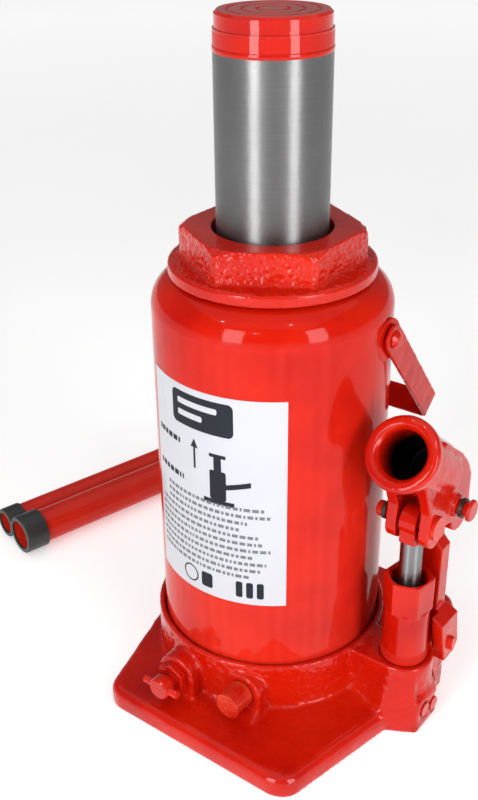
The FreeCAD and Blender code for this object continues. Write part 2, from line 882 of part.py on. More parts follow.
def saddle():
    """Cap pressed into the ram's end, its top face cut with round grooves."""
    body = turned("saddle", [
        ("0", "ram_top - saddle_spigot_length"),
        ("ram_bore", "ram_top - saddle_spigot_length"),
        ("ram_bore", "ram_top"),
        ("saddle_bead", "ram_top"),
        ("saddle_bead", "ram_top + saddle_bead_height"),
        ("saddle_radius", "ram_top + saddle_bead_height"),
        ("saddle_radius", "saddle_top"),
        ("0", "saddle_top"),
    ])
    soften(body, "Chamfer", ring_at("saddle_radius", "saddle_top"), "saddle_chamfer")
    for step in (1, 2, 3):
        middle = f"{step} * saddle_groove_pitch + saddle_groove_start"
        revolve(body, outline(new_sketch(body, "XZ_Plane"), [
            (f"{middle} - saddle_groove_depth", "saddle_top"),
            (middle, "saddle_top - saddle_groove_depth"),
            (f"{middle} + saddle_groove_depth", "saddle_top"),
        ]), "Groove")


# ---------------------------------------------------------------- pump


def pump_cylinder():
    """Screwed-in pump barrel with a six-sided head and a gland recess."""
    low = "pump_shoulder + pump_washer_height"
    body = turned("pump_cylinder", [
        ("0", low),
        ("pump_radius", low),
        ("pump_radius", "pump_hex_low"),
        ("0", "pump_hex_low"),
    ], "pump_x", "pump_y")
    head = hexagon(new_sketch(body, "XY_Plane", "pump_hex_low"), "pump_hex_corner", "pump_hex_turn")
    pad(body, head, "pump_hex_top - pump_hex_low")
    drop = "(pump_hex_corner - pump_hex_chamfer)"
    revolve(body, outline(new_sketch(body, "XZ_Plane"), [
        ("pump_hex_chamfer", "pump_hex_top"),
        ("pump_hex_corner + cut_reach", "pump_hex_top"),
        ("pump_hex_corner + cut_reach", f"pump_hex_top - {drop} - cut_reach"),
    ]), "Groove")
    gland = "pump_hex_top - pump_gland_floor"
    drill(body, "XY_Plane", "pump_hex_top", "0", "0", "pump_gland_radius", gland)
    bore = "plunger_radius + running_gap"
    drill(body, "XY_Plane", "pump_gland_floor", "0", "0", bore, f"pump_gland_floor - ({low})")
    soften(body, "Chamfer", ring_at("pump_gland_radius", "pump_hex_top"), "pump_gland_bevel")


def pump_rings():
    """Sealing washer under the pump barrel and the plunger's gland seal."""
    top = "pump_shoulder + pump_washer_height"
    place_at = ("pump_x", "pump_y")
    ring("pump_washer", "pump_chamber_radius", "pump_radius", "pump_shoulder", top, *place_at)
    gap = "running_gap"
    floor = f"pump_gland_floor + {gap}"
    outer = f"pump_gland_radius - {gap}"
    ring("pump_seal", f"plunger_radius + {gap}", outer, floor, f"{floor} + pump_seal_height", *place_at)


def pump_piston():
    """Plunger with a flat head; its eye leaves the piston pin room to swing."""
    body = turned("pump_piston", [
        ("0", "plunger_low"),
        ("plunger_radius", "plunger_low"),
        ("plunger_radius", "plunger_head_low + cut_reach"),
        ("0", "plunger_head_low + cut_reach"),
    ], "pump_x", "pump_y")
    thickness = "2 * plunger_head_half"
    side = mirrored([("plunger_head_side", "plunger_head_low"), ("plunger_head_side", "piston_pin_z")])
    pad(body, outline(new_sketch(body, "YZ_Plane"), side), thickness, symmetric=True)
    top = circle(new_sketch(body, "YZ_Plane"), "0", "piston_pin_z", "plunger_head_radius")
    pad(body, top, thickness, symmetric=True)
    eye = circle(new_sketch(body, "YZ_Plane"), "0", "piston_pin_z", "plunger_eye")
    pocket(body, eye, f"{thickness} + cut_reach", symmetric=True)
    soften(body, "Chamfer", ring_at("plunger_radius", "plunger_low"), "plunger_chamfer")


# ---------------------------------------------------------------- lever and link


def lever_fork(body):
    """Two cheeks under the socket, round the fulcrum and the piston pin."""
    width = "2 * fork_outer"
    cheek = [
        ("-fork_front_y", "fork_front_z"),
        ("-fork_shin_y", "fork_shin_z"),
        ("-fork_nose_y - fork_nose_radius", "-fork_nose_z"),
        ("-fork_nose_y + fork_nose_radius", "-fork_nose_z"),
        ("-fork_notch_y", "-fork_notch_z"),
        ("fork_heel_y + fork_heel_radius", "-fork_heel_z"),
        ("fork_heel_y + fork_heel_radius", "fork_back_z"),
        ("fork_crown_y", "fork_crown_z"),
        ("fork_ridge_y", "fork_ridge_z"),
        ("-fork_top_y", "fork_top_z"),
    ]
    pad(body, outline(new_sketch(body, "YZ_Plane"), cheek), width, symmetric=True)
    for end in ("nose", "heel"):
        y = "-fork_nose_y" if end == "nose" else "fork_heel_y"
        lobe = circle(new_sketch(body, "YZ_Plane"), y, f"-fork_{end}_z", f"fork_{end}_radius")
        pad(body, lobe, width, symmetric=True)
    slot = mirrored([("socket_y", "-socket_z"), ("socket_y", "socket_z")])
    pocket(body, outline(new_sketch(body, "YZ_Plane"), slot), "2 * fork_inner", symmetric=True)


def lever_socket(body):
    """Tilted handle socket with a flared rim and a blind bore."""
    frame = {"across": "-socket_y", "up": "socket_z", "spin": "90 - socket_tilt"}
    revolve(body, outline(new_sketch(body, "YZ_Plane", **frame), [
        ("0", "-socket_length"),
        ("socket_radius - socket_end_round", "-socket_length"),
        ("socket_radius", "-socket_length + socket_end_round"),
        ("socket_radius", "-socket_rim_width - socket_rim_taper"),
        ("socket_rim_radius", "-socket_rim_width"),
        ("socket_rim_radius", "0"),
        ("0", "0"),
    ]))

    def rounded(edge, radius):
        return isinstance(edge.Curve, Part.Circle) and abs(edge.Curve.Radius - value(radius)) < 0.01

    soften(body, "Fillet", lambda edge: rounded(edge, "socket_rim_radius"), "socket_rim_round")
    revolve(body, outline(new_sketch(body, "YZ_Plane", **frame), [
        ("0", "-socket_depth"),
        ("socket_bore", "-socket_depth"),
        ("socket_bore", "-socket_mouth_depth"),
        ("socket_bore + socket_mouth_flare", "0"),
        ("0", "0"),
    ]), "Groove")


def handle_socket():
    """Lever casting; its own origin is the fulcrum."""
    body = new_body("handle_socket", "pump_x", "link_y", "fulcrum_z")
    lever_fork(body)
    lever_socket(body)
    sketch = circle(new_sketch(body, "YZ_Plane", "fork_outer"), "0", "0", "fork_collar_radius")
    pad(body, sketch, "fork_collar_height")
    depth = "2 * fork_outer + fork_collar_height"
    outer = "fork_outer + fork_collar_height"
    drill(body, "YZ_Plane", outer, "0", "0", "pin_radius + running_gap", depth)
    nose = ("pump_y - link_y", "piston_pin_z - fulcrum_z")
    drill(body, "YZ_Plane", outer, *nose, "piston_pin_radius + running_gap", depth)


def link_plate(body):
    """Flat web of the link with its sloped shoulders; the origin is the lower pin."""
    height = "(fulcrum_z - lug_pin_z)"
    half = [
        ("ear_outer", "link_fork_top"),
        ("ear_outer", "ear_top"),
        ("link_half", "link_shoulder_top"),
        ("link_half", "link_neck_low"),
        ("link_eye_half", "link_neck_high"),
        ("link_eye_half", height),
    ]
    pad(body, outline(new_sketch(body, "XZ_Plane"), mirrored(half)), "link_depth", symmetric=True)
    eye = circle(new_sketch(body, "YZ_Plane"), "0", height, "link_eye_radius")
    pad(body, eye, "2 * link_eye_half", symmetric=True)


def link_ears(body):
    """Forked ears that straddle the lug of the base."""
    ear = [
        ("-ear_front", "link_shoulder_top"),
        ("ear_back", "link_shoulder_top"),
        ("ear_back", "ear_top"),
        ("ear_heel", "-ear_heel_low"),
        ("ear_toe", "-ear_low"),
        ("-ear_toe", "-ear_low"),
        ("-ear_front", "ear_top"),
    ]
    width = "ear_outer - ear_inner"
    for side in (1, -1):
        sketch = outline(new_sketch(body, "YZ_Plane", f"{side} * ear_inner"), ear)
        pad(body, sketch, width, reverse=side < 0)
    for side in (1, -1):
        slope = [
            (f"{side} * link_half", "link_shoulder_top"),
            (f"{side} * ear_outer", "ear_top"),
            (f"{side} * (ear_outer + cut_reach)", "ear_top"),
            (f"{side} * (ear_outer + cut_reach)", "link_shoulder_top + cut_reach"),
            (f"{side} * link_half", "link_shoulder_top + cut_reach"),
        ]
        pocket(body, outline(new_sketch(body, "XZ_Plane"), slope), "3 * ear_front", symmetric=True)


def lever_link():
    """Link between the base's lug and the lever's fulcrum."""
    body = new_body("lever_link", "pump_x", "link_y", "lug_pin_z")
    link_plate(body)
    link_ears(body)
    hole = "pin_radius + running_gap"
    height = "fulcrum_z - lug_pin_z"
    for half, level in (("link_eye_half", height), ("ear_outer", "0")):
        drill(body, "YZ_Plane", f"{half} + cut_reach", "0", level, hole, f"2 * ({half} + cut_reach)")


def lug_pin():
    """Lower pin of the link, its ends peened to flat tenons."""
    body = turned("lug_pin", [
        ("0", "-ear_outer"),
        ("pin_radius", "-ear_outer"),
        ("pin_radius", "ear_outer"),
        ("0", "ear_outer"),
    ], "pump_x", "link_y", "lug_pin_z", ALONG_X)
    half = [
        ("lug_pin_tenon_height / 2", "-lug_pin_tenon_width / 2"),
        ("lug_pin_tenon_height / 2", "lug_pin_tenon_width / 2"),
    ]
    tenon = outline(new_sketch(body, "XY_Plane"), mirrored(half))
    pad(body, tenon, "2 * (ear_outer + lug_pin_tenon)", symmetric=True)


def link_pin():
    """Fulcrum pin with a domed head outside the lever."""
    head = "link_pin_head + link_pin_head_height"
    body = turned("link_pin", [
        ("0", "-link_pin_start"),
        ("pin_radius", "-link_pin_start"),
        ("pin_radius", "link_pin_head"),
        ("link_pin_head_radius", "link_pin_head"),
        ("link_pin_head_radius", head),
        ("0", head),
    ], "pump_x", "link_y", "fulcrum_z", ALONG_X)
    soften(body, "Fillet", ring_at("link_pin_head_radius", head), "pin_end_round")


def piston_pin():
    """Pin between the fork and the plunger, headed outside and bulbed inside."""
    start = "fork_outer + running_gap"
    head = f"{start} + piston_pin_head_height"
    neck = "piston_pin_end - piston_pin_bulb_height"
    body = turned("piston_pin", [
        ("0", "-piston_pin_end"),
        ("piston_pin_bulb", "-piston_pin_end"),
        ("piston_pin_bulb", f"-({neck})"),
        ("piston_pin_radius", f"-({neck})"),
        ("piston_pin_radius", start),
        ("piston_pin_head_radius", start),
        ("piston_pin_head_radius", head),
        ("0", head),
    ], "pump_x", "pump_y", "piston_pin_z", ALONG_X)
    soften(body, "Fillet", ring_at("piston_pin_bulb", "-piston_pin_end"), "pin_end_round")


def retaining_clips():
    """Black spring rings on the two upper pins."""
    clips = []
    for radius, start, y, z in (
        ("pin_radius", "link_clip_start", "link_y", "fulcrum_z"),
        ("piston_pin_radius", "-piston_clip_start - clip_width", "pump_y", "piston_pin_z"),
    ):
        at = (f"pump_x + {start}", y, z, ALONG_X)
        outer = rod(f"{radius} + clip_band", "clip_width", *at)
        inner = rod(f"{radius} + running_gap / 2", "clip_width", *at)
        clips.append(cut(outer, inner))
    group("retaining_clips", clips)


# ---------------------------------------------------------------- valves


def release_valve_screw():
    """Release screw with an O-ring groove and a knob; its axis points out of the front."""
    groove = "release_o_ring_place"
    groove_end = f"{groove} + release_o_ring_width"
    body = turned("release_valve_screw", [
        ("0", "release_stem_start"),
        ("release_stem", "release_stem_start"),
        ("release_stem", groove),
        ("release_o_ring_inner", groove),
        ("release_o_ring_inner", groove_end),
        ("release_stem", groove_end),
        ("release_stem", "release_thread_end"),
        ("release_neck", "release_thread_end"),
        ("release_neck", "release_knob_start"),
        ("release_knob", "release_knob_start"),
        ("release_knob", "release_knob_end"),
        ("0", "release_knob_end"),
    ], "-release_x", "0", "valve_z", ALONG_MINUS_Y)
    soften(body, "Chamfer", ring_at("release_knob", "release_knob_end"), "release_knob_chamfer")
    hole = circle(new_sketch(body, "YZ_Plane"), "0", "cross_pin_place", "cross_pin_radius")
    pocket(body, hole, "4 * release_knob", symmetric=True)


def release_small_parts():
    """Cross pin, gland nut and O-ring of the release valve."""
    turned("release_cross_pin", [
        ("0", "-cross_pin_half"),
        ("cross_pin_radius", "-cross_pin_half"),
        ("cross_pin_radius", "cross_pin_half"),
        ("0", "cross_pin_half"),
    ], "-release_x", "-cross_pin_place", "valve_z", ALONG_X)
    gland = new_body("release_gland", "-release_x", "0", "valve_z", ALONG_MINUS_Y)
    sketch = new_sketch(gland, "XY_Plane", "release_face")
    pad(gland, hexagon(sketch, "release_gland_corner", "release_gland_turn"), "release_gland_height")
    top = "release_face + release_gland_height"
    drill(gland, "XY_Plane", top, "0", "0", "release_bore", "release_gland_height")
    low = "release_o_ring_place + running_gap"
    high = "release_o_ring_place + release_o_ring_width - running_gap"
    inner = "release_o_ring_inner + running_gap"
    ring("release_o_ring", inner, "release_stem", low, high, "-release_x", "0", "valve_z", ALONG_MINUS_Y)


def safety_valve_plug():
    """Plug that holds the safety valve's spring."""
    turned("safety_valve_plug", [
        ("safety_well", "safety_thread_start"),
        ("safety_bore - running_gap", "safety_thread_start"),
        ("safety_bore - running_gap", "safety_face + running_gap"),
        ("safety_head", "safety_face + running_gap"),
        ("safety_head", "safety_head_end"),
        ("0", "safety_head_end"),
        ("0", "safety_well_floor"),
        ("safety_well", "safety_well_floor"),
    ], "safety_x", "0", "valve_z", ALONG_MINUS_Y)


def safety_valve_spring():
    """Coil spring between the safety ball and the plug."""
    rise = value("sqrt(valve_ball ^ 2 - valve_port ^ 2)")
    wire = value("spring_wire")
    start = value("safety_seat") + rise + value("valve_ball") + wire
    height = value("safety_well_floor") - wire - start
    helix = doc.addObject("Part::Helix", "spring_helix")
    helix.Pitch = height / value("spring_turns")
    helix.Height = height
    bind(helix, "Radius", "spring_radius")
    section = doc.addObject("Part::Circle", "spring_section")
    bind(section, "Radius", "spring_wire")
    section.Placement = Placement(Vector(value("spring_radius"), 0, 0), Rotation(Vector(1, 0, 0), 90))
    spring = doc.addObject("Part::Sweep", "safety_valve_spring")
    spring.Label = "safety_valve_spring"
    spring.Sections = [section]
    spring.Spine = (helix, ["Edge1"])
    spring.Solid = True
    spring.Frenet = True
    place(spring, "safety_x", f"-{start}", "valve_z", ALONG_MINUS_Y)
    pieces.append(spring)


def balls():
    """Steel balls of the release, safety, suction and delivery valves."""
    rise = "sqrt(valve_ball ^ 2 - valve_port ^ 2)"
    ball("release_ball", "valve_ball", "-release_x", f"-release_seat - {rise}", "valve_z")
    ball("safety_valve_ball", "valve_ball", "safety_x", f"-safety_seat - {rise}", "valve_z")
    rise = "sqrt(suction_ball ^ 2 - riser_radius ^ 2)"
    ball("suction_ball", "suction_ball", "pump_x", "suction_y", f"suction_well_floor + {rise}")
    rise = "sqrt(delivery_ball ^ 2 - riser_radius ^ 2)"
    height = f"delivery_well_floor + {rise}"
    ball("delivery_ball", "delivery_ball", "delivery_riser_x", "-delivery_y", height)


def gallery_fittings():
    """Grub plugs in the drilled gallery ends and the suction strainer."""
    start = "boss_foot_reach - plug_length"
    plugs = []
    for y, z in (("suction_y", "suction_z"), ("-delivery_y", "delivery_z")):
        plugs.append(rod("plug_radius - running_gap", "plug_length", start, y, z, ALONG_X))
    group("channel_plugs", plugs)
    top = "reservoir_floor + screen_height"
    at = ("suction_riser_x", "suction_y")
    ring("filter_screen", "valve_port", "screen_radius", "reservoir_floor", top, *at)


# ---------------------------------------------------------------- carrying handle


def carry_handle():
    """Strip bent to a bail; it hangs behind the tank and swings up about its rivets."""
    lean = Rotation(Vector(1, 0, 0), value("bail_lean"))
    body = new_body("carry_handle", "0", "bail_y", "bail_z", lean)
    half = [
        ("bail_inner_low", "-bail_length"),
        ("bail_inner_top", "bail_end"),
        ("bail_inner_top + bail_strip", "bail_end"),
        ("bail_inner_low + bail_strip", "-bail_length - bail_strip"),
    ]
    pad(body, outline(new_sketch(body, "XZ_Plane"), mirrored(half)), "bail_width", symmetric=True)

    def arm_end(edge):
        box = edge.BoundBox
        return box.ZMin > value("bail_end") - 0.01 and box.YLength < 0.01

    def bend(edge):
        box = edge.BoundBox
        low = value("bail_length + bail_strip")
        return box.YLength > 10 and abs(box.ZMin + low) < 0.01 and abs(box.XMin) > 10

    soften(body, "Fillet", arm_end, "bail_width / 2 - 0.1")
    soften(body, "Fillet", bend, "bail_bend")
    hole = circle(new_sketch(body, "YZ_Plane"), "0", "0", "rivet_radius + 2 * running_gap")
    pocket(body, hole, "4 * bail_inner_top", symmetric=True)


def handle_ears():
    """Plates welded to the tank that carry the bail's rivets."""
    ears = []
    for side in (1, -1):
        near = "ear_plate_start" if side > 0 else "-ear_plate_face"
        thickness = "ear_plate_face - ear_plate_start"
        plate = rod("ear_plate_radius", thickness, near, "ear_plate_y", "ear_plate_z", ALONG_X)
        tank = rod("tank_radius", "tank_top", "0", "0", "0")
        seat = "rivet_start" if side > 0 else "-ear_plate_face - cut_reach"
        length = "ear_plate_face + cut_reach - rivet_start"
        hole = rod("rivet_radius + running_gap", length, seat, "bail_y", "bail_z", ALONG_X)
        ears.append(cut(cut(plate, tank), hole))
    group("handle_ears", ears)


def handle_rivets():
    """Two headed studs that the bail turns on."""
    rivets = []
    for side in (1, -1):
        turn = ALONG_X if side > 0 else Rotation(Vector(0, 1, 0), -90)
        start = f"{side} * rivet_start"
        length = "rivet_head_start + cut_reach - rivet_start"
        shank = rod("rivet_radius", length, start, "bail_y", "bail_z", turn)
        head = doc.addObject("Part::Cone", "rivet_head")
        bind(head, "Radius1", "rivet_head_radius")
        bind(head, "Radius2", "rivet_head_radius - rivet_head_taper")
        bind(head, "Height", "rivet_head_height")
        place(head, f"{side} * rivet_head_start", "bail_y", "bail_z", turn)
        rivets.append(fuse(shank, head))
    group("handle_rivets", rivets)


# ---------------------------------------------------------------- pump handle and label


def handle_tube(which, across, along):
    """Tube on the floor with a plastic sleeve on its near end."""
    radius = f"{which}_tube_radius"
    sleeve = f"{which}_sleeve_radius"
    drop = value(f"({sleeve} + sleeve_floor_gap - {radius}) / tube_length")
    level = Rotation(Vector(0, 0, 1), value("tube_heading")).multVec(Vector(1, 0, 0))
    turn = Rotation(Vector(0, 0, 1), level + Vector(0, 0, -drop))
    sine = "sin(tube_heading * 1 deg)"
    cosine = "cos(tube_heading * 1 deg)"
    at = (
        f"tube_x - {across} * {sine} + {along} * {cosine}",
        f"tube_y + {across} * {cosine} + {along} * {sine}",
        f"{sleeve} + sleeve_floor_gap",
        turn,
    )
    ring(f"handle_tube_{which}", f"{radius} - tube_wall", radius, "0", "tube_length", *at)
    bore = f"{radius} - sleeve_lip_width"
    body = turned(f"tube_sleeve_{which}", [
        (bore, "-sleeve_lip"),
        (sleeve, "-sleeve_lip"),
        (sleeve, f"{which}_sleeve_length"),
        (f"{radius} + running_gap", f"{which}_sleeve_length"),
        (f"{radius} + running_gap", "-running_gap"),
        (bore, "-running_gap"),
    ], *at)
    soften(body, "Fillet", ring_at(sleeve, "-sleeve_lip"), "sleeve_end_round")


def label():
    """Blank sticker wrapped on the tank."""
    outer = rod("tank_radius + label_thickness", "label_height", "0", "0", "label_low")
    inner = rod("tank_radius", "label_height", "0", "0", "label_low")
    start = Rotation(Vector(0, 0, 1), value("label_start"))
    for shape in (outer, inner):
        bind(shape, "Angle", "label_sweep")
        shape.Placement = Placement(shape.Placement.Base, start)
    sticker = cut(outer, inner)
    sticker.Label = "label"
    pieces.append(sticker)


def check_document():
    """Stop before writing if any object failed."""
    doc.recompute()
    for item in doc.Objects:
        if {"Invalid", "Error"} & set(item.State):
            raise RuntimeError(f"{item.Name} failed: {item.State}")
    for piece in pieces:
        if piece.Shape.isNull() or not piece.Shape.isValid() or not piece.Shape.Solids:
            raise RuntimeError(f"{piece.Label} has no valid solid")


def write_steps():
    os.makedirs("parts", exist_ok=True)
    for piece in pieces:
        piece.Shape.exportStep(f"parts/{piece.Label}.step")
        print(f"{piece.Label:24s} {len(piece.Shape.Solids)} solid  {piece.Shape.Volume:12.1f} mm3")


fill_sheet()
base_casting()
tank_tube()
tank_gaskets()
pressure_cylinder()
top_nut()
nut_seals()
filler_plug()
ram()
ram_rings()
saddle()
pump_cylinder()
pump_rings()
pump_piston()
handle_socket()
lever_link()
lug_pin()
link_pin()
piston_pin()
retaining_clips()
release_valve_screw()
release_small_parts()
safety_valve_plug()
safety_valve_spring()
balls()
gallery_fittings()
carry_handle()
handle_ears()
handle_rivets()
handle_tube("front", "0", "0")
handle_tube("rear", "rear_tube_across", "rear_tube_along")
label()
check_document()
write_steps()
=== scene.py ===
import json
import math
import random

import bpy
from mathutils import Matrix, Vector, noise


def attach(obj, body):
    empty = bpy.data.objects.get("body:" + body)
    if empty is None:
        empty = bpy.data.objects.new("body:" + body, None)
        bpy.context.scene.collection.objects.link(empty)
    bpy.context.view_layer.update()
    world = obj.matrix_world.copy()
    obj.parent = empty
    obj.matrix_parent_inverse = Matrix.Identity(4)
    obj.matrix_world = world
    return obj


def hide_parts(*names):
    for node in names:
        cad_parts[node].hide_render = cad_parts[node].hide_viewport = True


# Hydraulic bottle jack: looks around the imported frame.  Metres, +Z up, +X towards the pump.

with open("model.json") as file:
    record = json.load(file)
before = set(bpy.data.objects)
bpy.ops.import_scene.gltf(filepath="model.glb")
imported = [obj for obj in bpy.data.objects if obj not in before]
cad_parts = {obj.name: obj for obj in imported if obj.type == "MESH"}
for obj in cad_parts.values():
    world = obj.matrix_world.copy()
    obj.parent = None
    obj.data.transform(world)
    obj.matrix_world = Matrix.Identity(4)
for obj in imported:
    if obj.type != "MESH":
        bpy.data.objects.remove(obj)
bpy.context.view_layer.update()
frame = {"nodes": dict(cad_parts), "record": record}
nodes = frame["nodes"]
MM = 0.001

# ---------------------------------------------------------------- camera

CAMERA_PLACE = (0.29371, -0.41329, 0.43959)
CAMERA_HEADING = math.radians(37.4)
CAMERA_PITCH = math.radians(28.11)
CAMERA_ROLL = math.radians(-0.74)
CAMERA_LENS = 48.23
CAMERA_SENSOR = 36


def make_camera():
    """Camera from its heading, pitch and roll; the plain view transform keeps the red deep."""
    heading, pitch, roll = CAMERA_HEADING, CAMERA_PITCH, CAMERA_ROLL
    right = Vector((math.cos(heading), math.sin(heading), 0))
    ahead = Vector((
        -math.sin(heading) * math.cos(pitch),
        math.cos(heading) * math.cos(pitch),
        -math.sin(pitch),
    ))
    up = right.cross(ahead)
    rolled_right = right * math.cos(roll) + up * math.sin(roll)
    rolled_up = up * math.cos(roll) - right * math.sin(roll)
    camera = bpy.data.objects.new("camera", bpy.data.cameras.new("camera"))
    bpy.context.scene.collection.objects.link(camera)
    camera.data.lens = CAMERA_LENS
    camera.data.sensor_width = CAMERA_SENSOR
    camera.data.clip_start = 0.01
    turn = Matrix((rolled_right, rolled_up, -ahead)).transposed().to_4x4()
    camera.matrix_world = Matrix.Translation(CAMERA_PLACE) @ turn
    bpy.context.scene.camera = camera
    bpy.context.scene.view_settings.view_transform = "Standard"


# ---------------------------------------------------------------- shader helpers


class Shader:
    """A material with a Principled surface and short calls for its nodes."""

    def __init__(self, name):
        self.material = bpy.data.materials.new(name)
        self.material.use_nodes = True
        self.tree = self.material.node_tree
        self.surface = self.tree.nodes["Principled BSDF"]
        coordinates = self.tree.nodes.new("ShaderNodeTexCoord")
        self.place = coordinates.outputs["Object"]

    def set(self, **values):
        for key, value in values.items():
            self.surface.inputs[key.replace("_", " ")].default_value = value

    def link(self, source, target):
        self.tree.links.new(source, target)

    def feed(self, source, name):
        self.link(source, self.surface.inputs[name])

    def stretched(self, x, y, z):
        mapping = self.tree.nodes.new("ShaderNodeMapping")
        mapping.inputs["Scale"].default_value = (x, y, z)
        self.link(self.place, mapping.inputs["Vector"])
        return mapping.outputs["Vector"]

    def noise(self, scale, detail=4, roughness=0.55, vector=None):
        texture = self.tree.nodes.new("ShaderNodeTexNoise")
        texture.inputs["Scale"].default_value = scale
        texture.inputs["Detail"].default_value = detail
        texture.inputs["Roughness"].default_value = roughness
        self.link(vector or self.place, texture.inputs["Vector"])
        return texture.outputs["Fac"]

    def ramp(self, source, stops):
        node = self.tree.nodes.new("ShaderNodeValToRGB")
        elements = node.color_ramp.elements
        while len(elements) < len(stops):
            elements.new(0.5)
        for element, (position, colour) in zip(elements, stops):
            element.position = position
            element.color = (*colour, 1)
        self.link(source, node.inputs["Fac"])
        return node.outputs["Color"]

    def grey_ramp(self, source, low, high, start=0.3, end=0.7):
        return self.ramp(source, [(start, (low,) * 3), (end, (high,) * 3)])

    def mix(self, factor, first, second):
        node = self.tree.nodes.new("ShaderNodeMix")
        node.data_type = "RGBA"
        self.link(factor, node.inputs[0])
        for socket, value in ((node.inputs[6], first), (node.inputs[7], second)):
            if isinstance(value, bpy.types.NodeSocket):
                self.link(value, socket)
            else:
                socket.default_value = (*value, 1)
        return node.outputs[2]

    def math(self, operation, first, second=0.0):
        node = self.tree.nodes.new("ShaderNodeMath")
        node.operation = operation
        for socket, value in zip(node.inputs, (first, second)):
            if isinstance(value, bpy.types.NodeSocket):
                self.link(value, socket)
            else:
                socket.default_value = value
        return node.outputs[0]

    def axis(self, letter):
        split = self.tree.nodes.new("ShaderNodeSeparateXYZ")
        self.link(self.place, split.inputs[0])
        return split.outputs[letter]

    def vector_math(self, operation, first, second=None):
        node = self.tree.nodes.new("ShaderNodeVectorMath")
        node.operation = operation
        self.link(first, node.inputs[0])
        if second is not None:
            node.inputs[1].default_value = second
        return node.outputs["Vector" if operation == "SUBTRACT" else "Value"]

    def map_range(self, source, start, end, low=0.0, high=1.0):
        node = self.tree.nodes.new("ShaderNodeMapRange")
        for name, value in (("From Min", start), ("From Max", end), ("To Min", low), ("To Max", high)):
            node.inputs[name].default_value = value
        self.link(source, node.inputs["Value"])
        return node.outputs["Result"]

    def along(self, centre, axis):
        """Depth behind a mouth's centre, and distance from the bore's axis."""
        offset = self.vector_math("SUBTRACT", self.place, centre)
        depth = self.vector_math("DOT_PRODUCT", offset, axis)
        square = self.math("POWER", self.vector_math("LENGTH", offset), 2.0)
        depth_square = self.math("MULTIPLY", depth, depth)
        return depth, self.math("SQRT", self.math("SUBTRACT", square, depth_square))

    def pointiness(self):
        return self.tree.nodes.new("ShaderNodeNewGeometry").outputs["Pointiness"]

    def bump(self, height, distance, strength=1.0, under=None):
        node = self.tree.nodes.new("ShaderNodeBump")
        node.inputs["Distance"].default_value = distance
        node.inputs["Strength"].default_value = strength
        self.link(height, node.inputs["Height"])
        if under is not None:
            self.link(under, node.inputs["Normal"])
        return node.outputs["Normal"]


# ---------------------------------------------------------------- materials

RED = (0.50, 0.0075, 0.0012)
DEEP_RED = (0.39, 0.0035, 0.0010)
WARM_RED = (0.56, 0.0125, 0.0016)
# Paler red for the painted highlight on convex edges.
EDGE_HIGHLIGHT_RED = (0.80, 0.05, 0.03)
SHADED_RED = (0.20, 0.004, 0.004)
# Near-black painted shade for the inside of the handle socket's bore.
BORE_SHADE_BLACK = (0.006, 0.004, 0.004)
COAT_FILL = 0.22
COAT_ROUGHNESS = 0.035
COAT_IOR = 1.4
COAT_WAVE = 0.22 * MM
PEEL = 0.06 * MM

SOCKET_RIM_OFFSET = 20 * MM
SOCKET_BORE_RADIUS = 13.1 * MM
SOCKET_BORE_DEPTH = 44.8 * MM
SOCKET_SHADE_FADE = (5 * MM, 20 * MM)

TURNING_MARKS = (40, 40, 5200)
MARK_GLINT = (0.9, 0.9, 0.92)
PAINT_EDGE = 0.4 * MM
RAM_PAINT_LOW = 350.2 * MM
PLUNGER_PAINT_LOW = 114.5 * MM


def red_tones(shader, warm, deep):
    """Mottled red, with a painted highlight on its edges and painted shade in its corners."""
    tone = shader.ramp(shader.noise(22, 5), [(0.32, deep), (0.5, RED), (0.7, warm)])
    specks = shader.grey_ramp(shader.noise(700, 2), 0.0, 1.0, 0.66, 0.74)
    tone = shader.mix(shader.math("MULTIPLY", specks, 0.18), tone, deep)
    # Painted highlight: convex edges turn a paler red.
    edges = shader.grey_ramp(shader.pointiness(), 0.0, 1.0, 0.53, 0.62)
    tone = shader.mix(shader.math("MULTIPLY", edges, 0.35), tone, EDGE_HIGHLIGHT_RED)
    # Painted shade: hollows darken towards a shaded red.
    hollows = shader.grey_ramp(shader.pointiness(), 1.0, 0.0, 0.40, 0.48)
    return shader.mix(shader.math("MULTIPLY", hollows, 0.45), tone, SHADED_RED)


def socket_bore_shade(shader):
    """How far painted shade darkens the handle socket's bore and its coat fades out, from 0 at its mouth to
    1 inside.

    The record's mount is half-way down the bore.
    """
    mount = next(row for row in frame["record"]["mounts"] if row["name"] == "lever_handle_bore")
    outward = Vector(mount["axis"])
    mouth = Vector(mount["pos_m"]) + outward * SOCKET_RIM_OFFSET
    depth, distance = shader.along(mouth, -outward)
    inside = shader.math("LESS_THAN", distance, SOCKET_BORE_RADIUS)
    inside = shader.math("MULTIPLY", inside, shader.math("LESS_THAN", depth, SOCKET_BORE_DEPTH))
    return shader.math("MULTIPLY", inside, shader.map_range(depth, *SOCKET_SHADE_FADE))


def enamel(
    name, grain, depth, roughness=0.16, warm=WARM_RED, deep=DEEP_RED, waves=1.0, coat=0.8, bore=False
):
    """Glossy red enamel; the metal's grain shows through it, and a bore may be painted near-black inside as
    its shade, with its coat faded out.
    """
    shader = Shader(name)
    tone = red_tones(shader, warm, deep)
    shader.set(Coat_Weight=coat, Coat_Roughness=COAT_ROUGHNESS, Coat_IOR=COAT_IOR, Specular_IOR_Level=0.03)
    if bore:
        # Painted shade: deep in the bore the red turns near-black, and its coat fades out.
        bare = socket_bore_shade(shader)
        tone = shader.mix(bare, tone, BORE_SHADE_BLACK)
        shader.feed(shader.math("MULTIPLY", shader.math("SUBTRACT", 1.0, bare), coat), "Coat Weight")
    shader.feed(tone, "Base Color")
    shader.feed(shader.grey_ramp(shader.noise(90, 4), roughness, roughness * 1.9), "Roughness")
    grains = shader.bump(shader.noise(grain, 3), depth)
    shader.feed(shader.bump(shader.noise(420, 2), PEEL, 0.7, grains), "Normal")
    filled = shader.bump(shader.noise(grain, 2), depth * COAT_FILL)
    shader.feed(shader.bump(shader.noise(160, 3), COAT_WAVE * waves, 0.5, filled), "Coat Normal")
    return shader.material


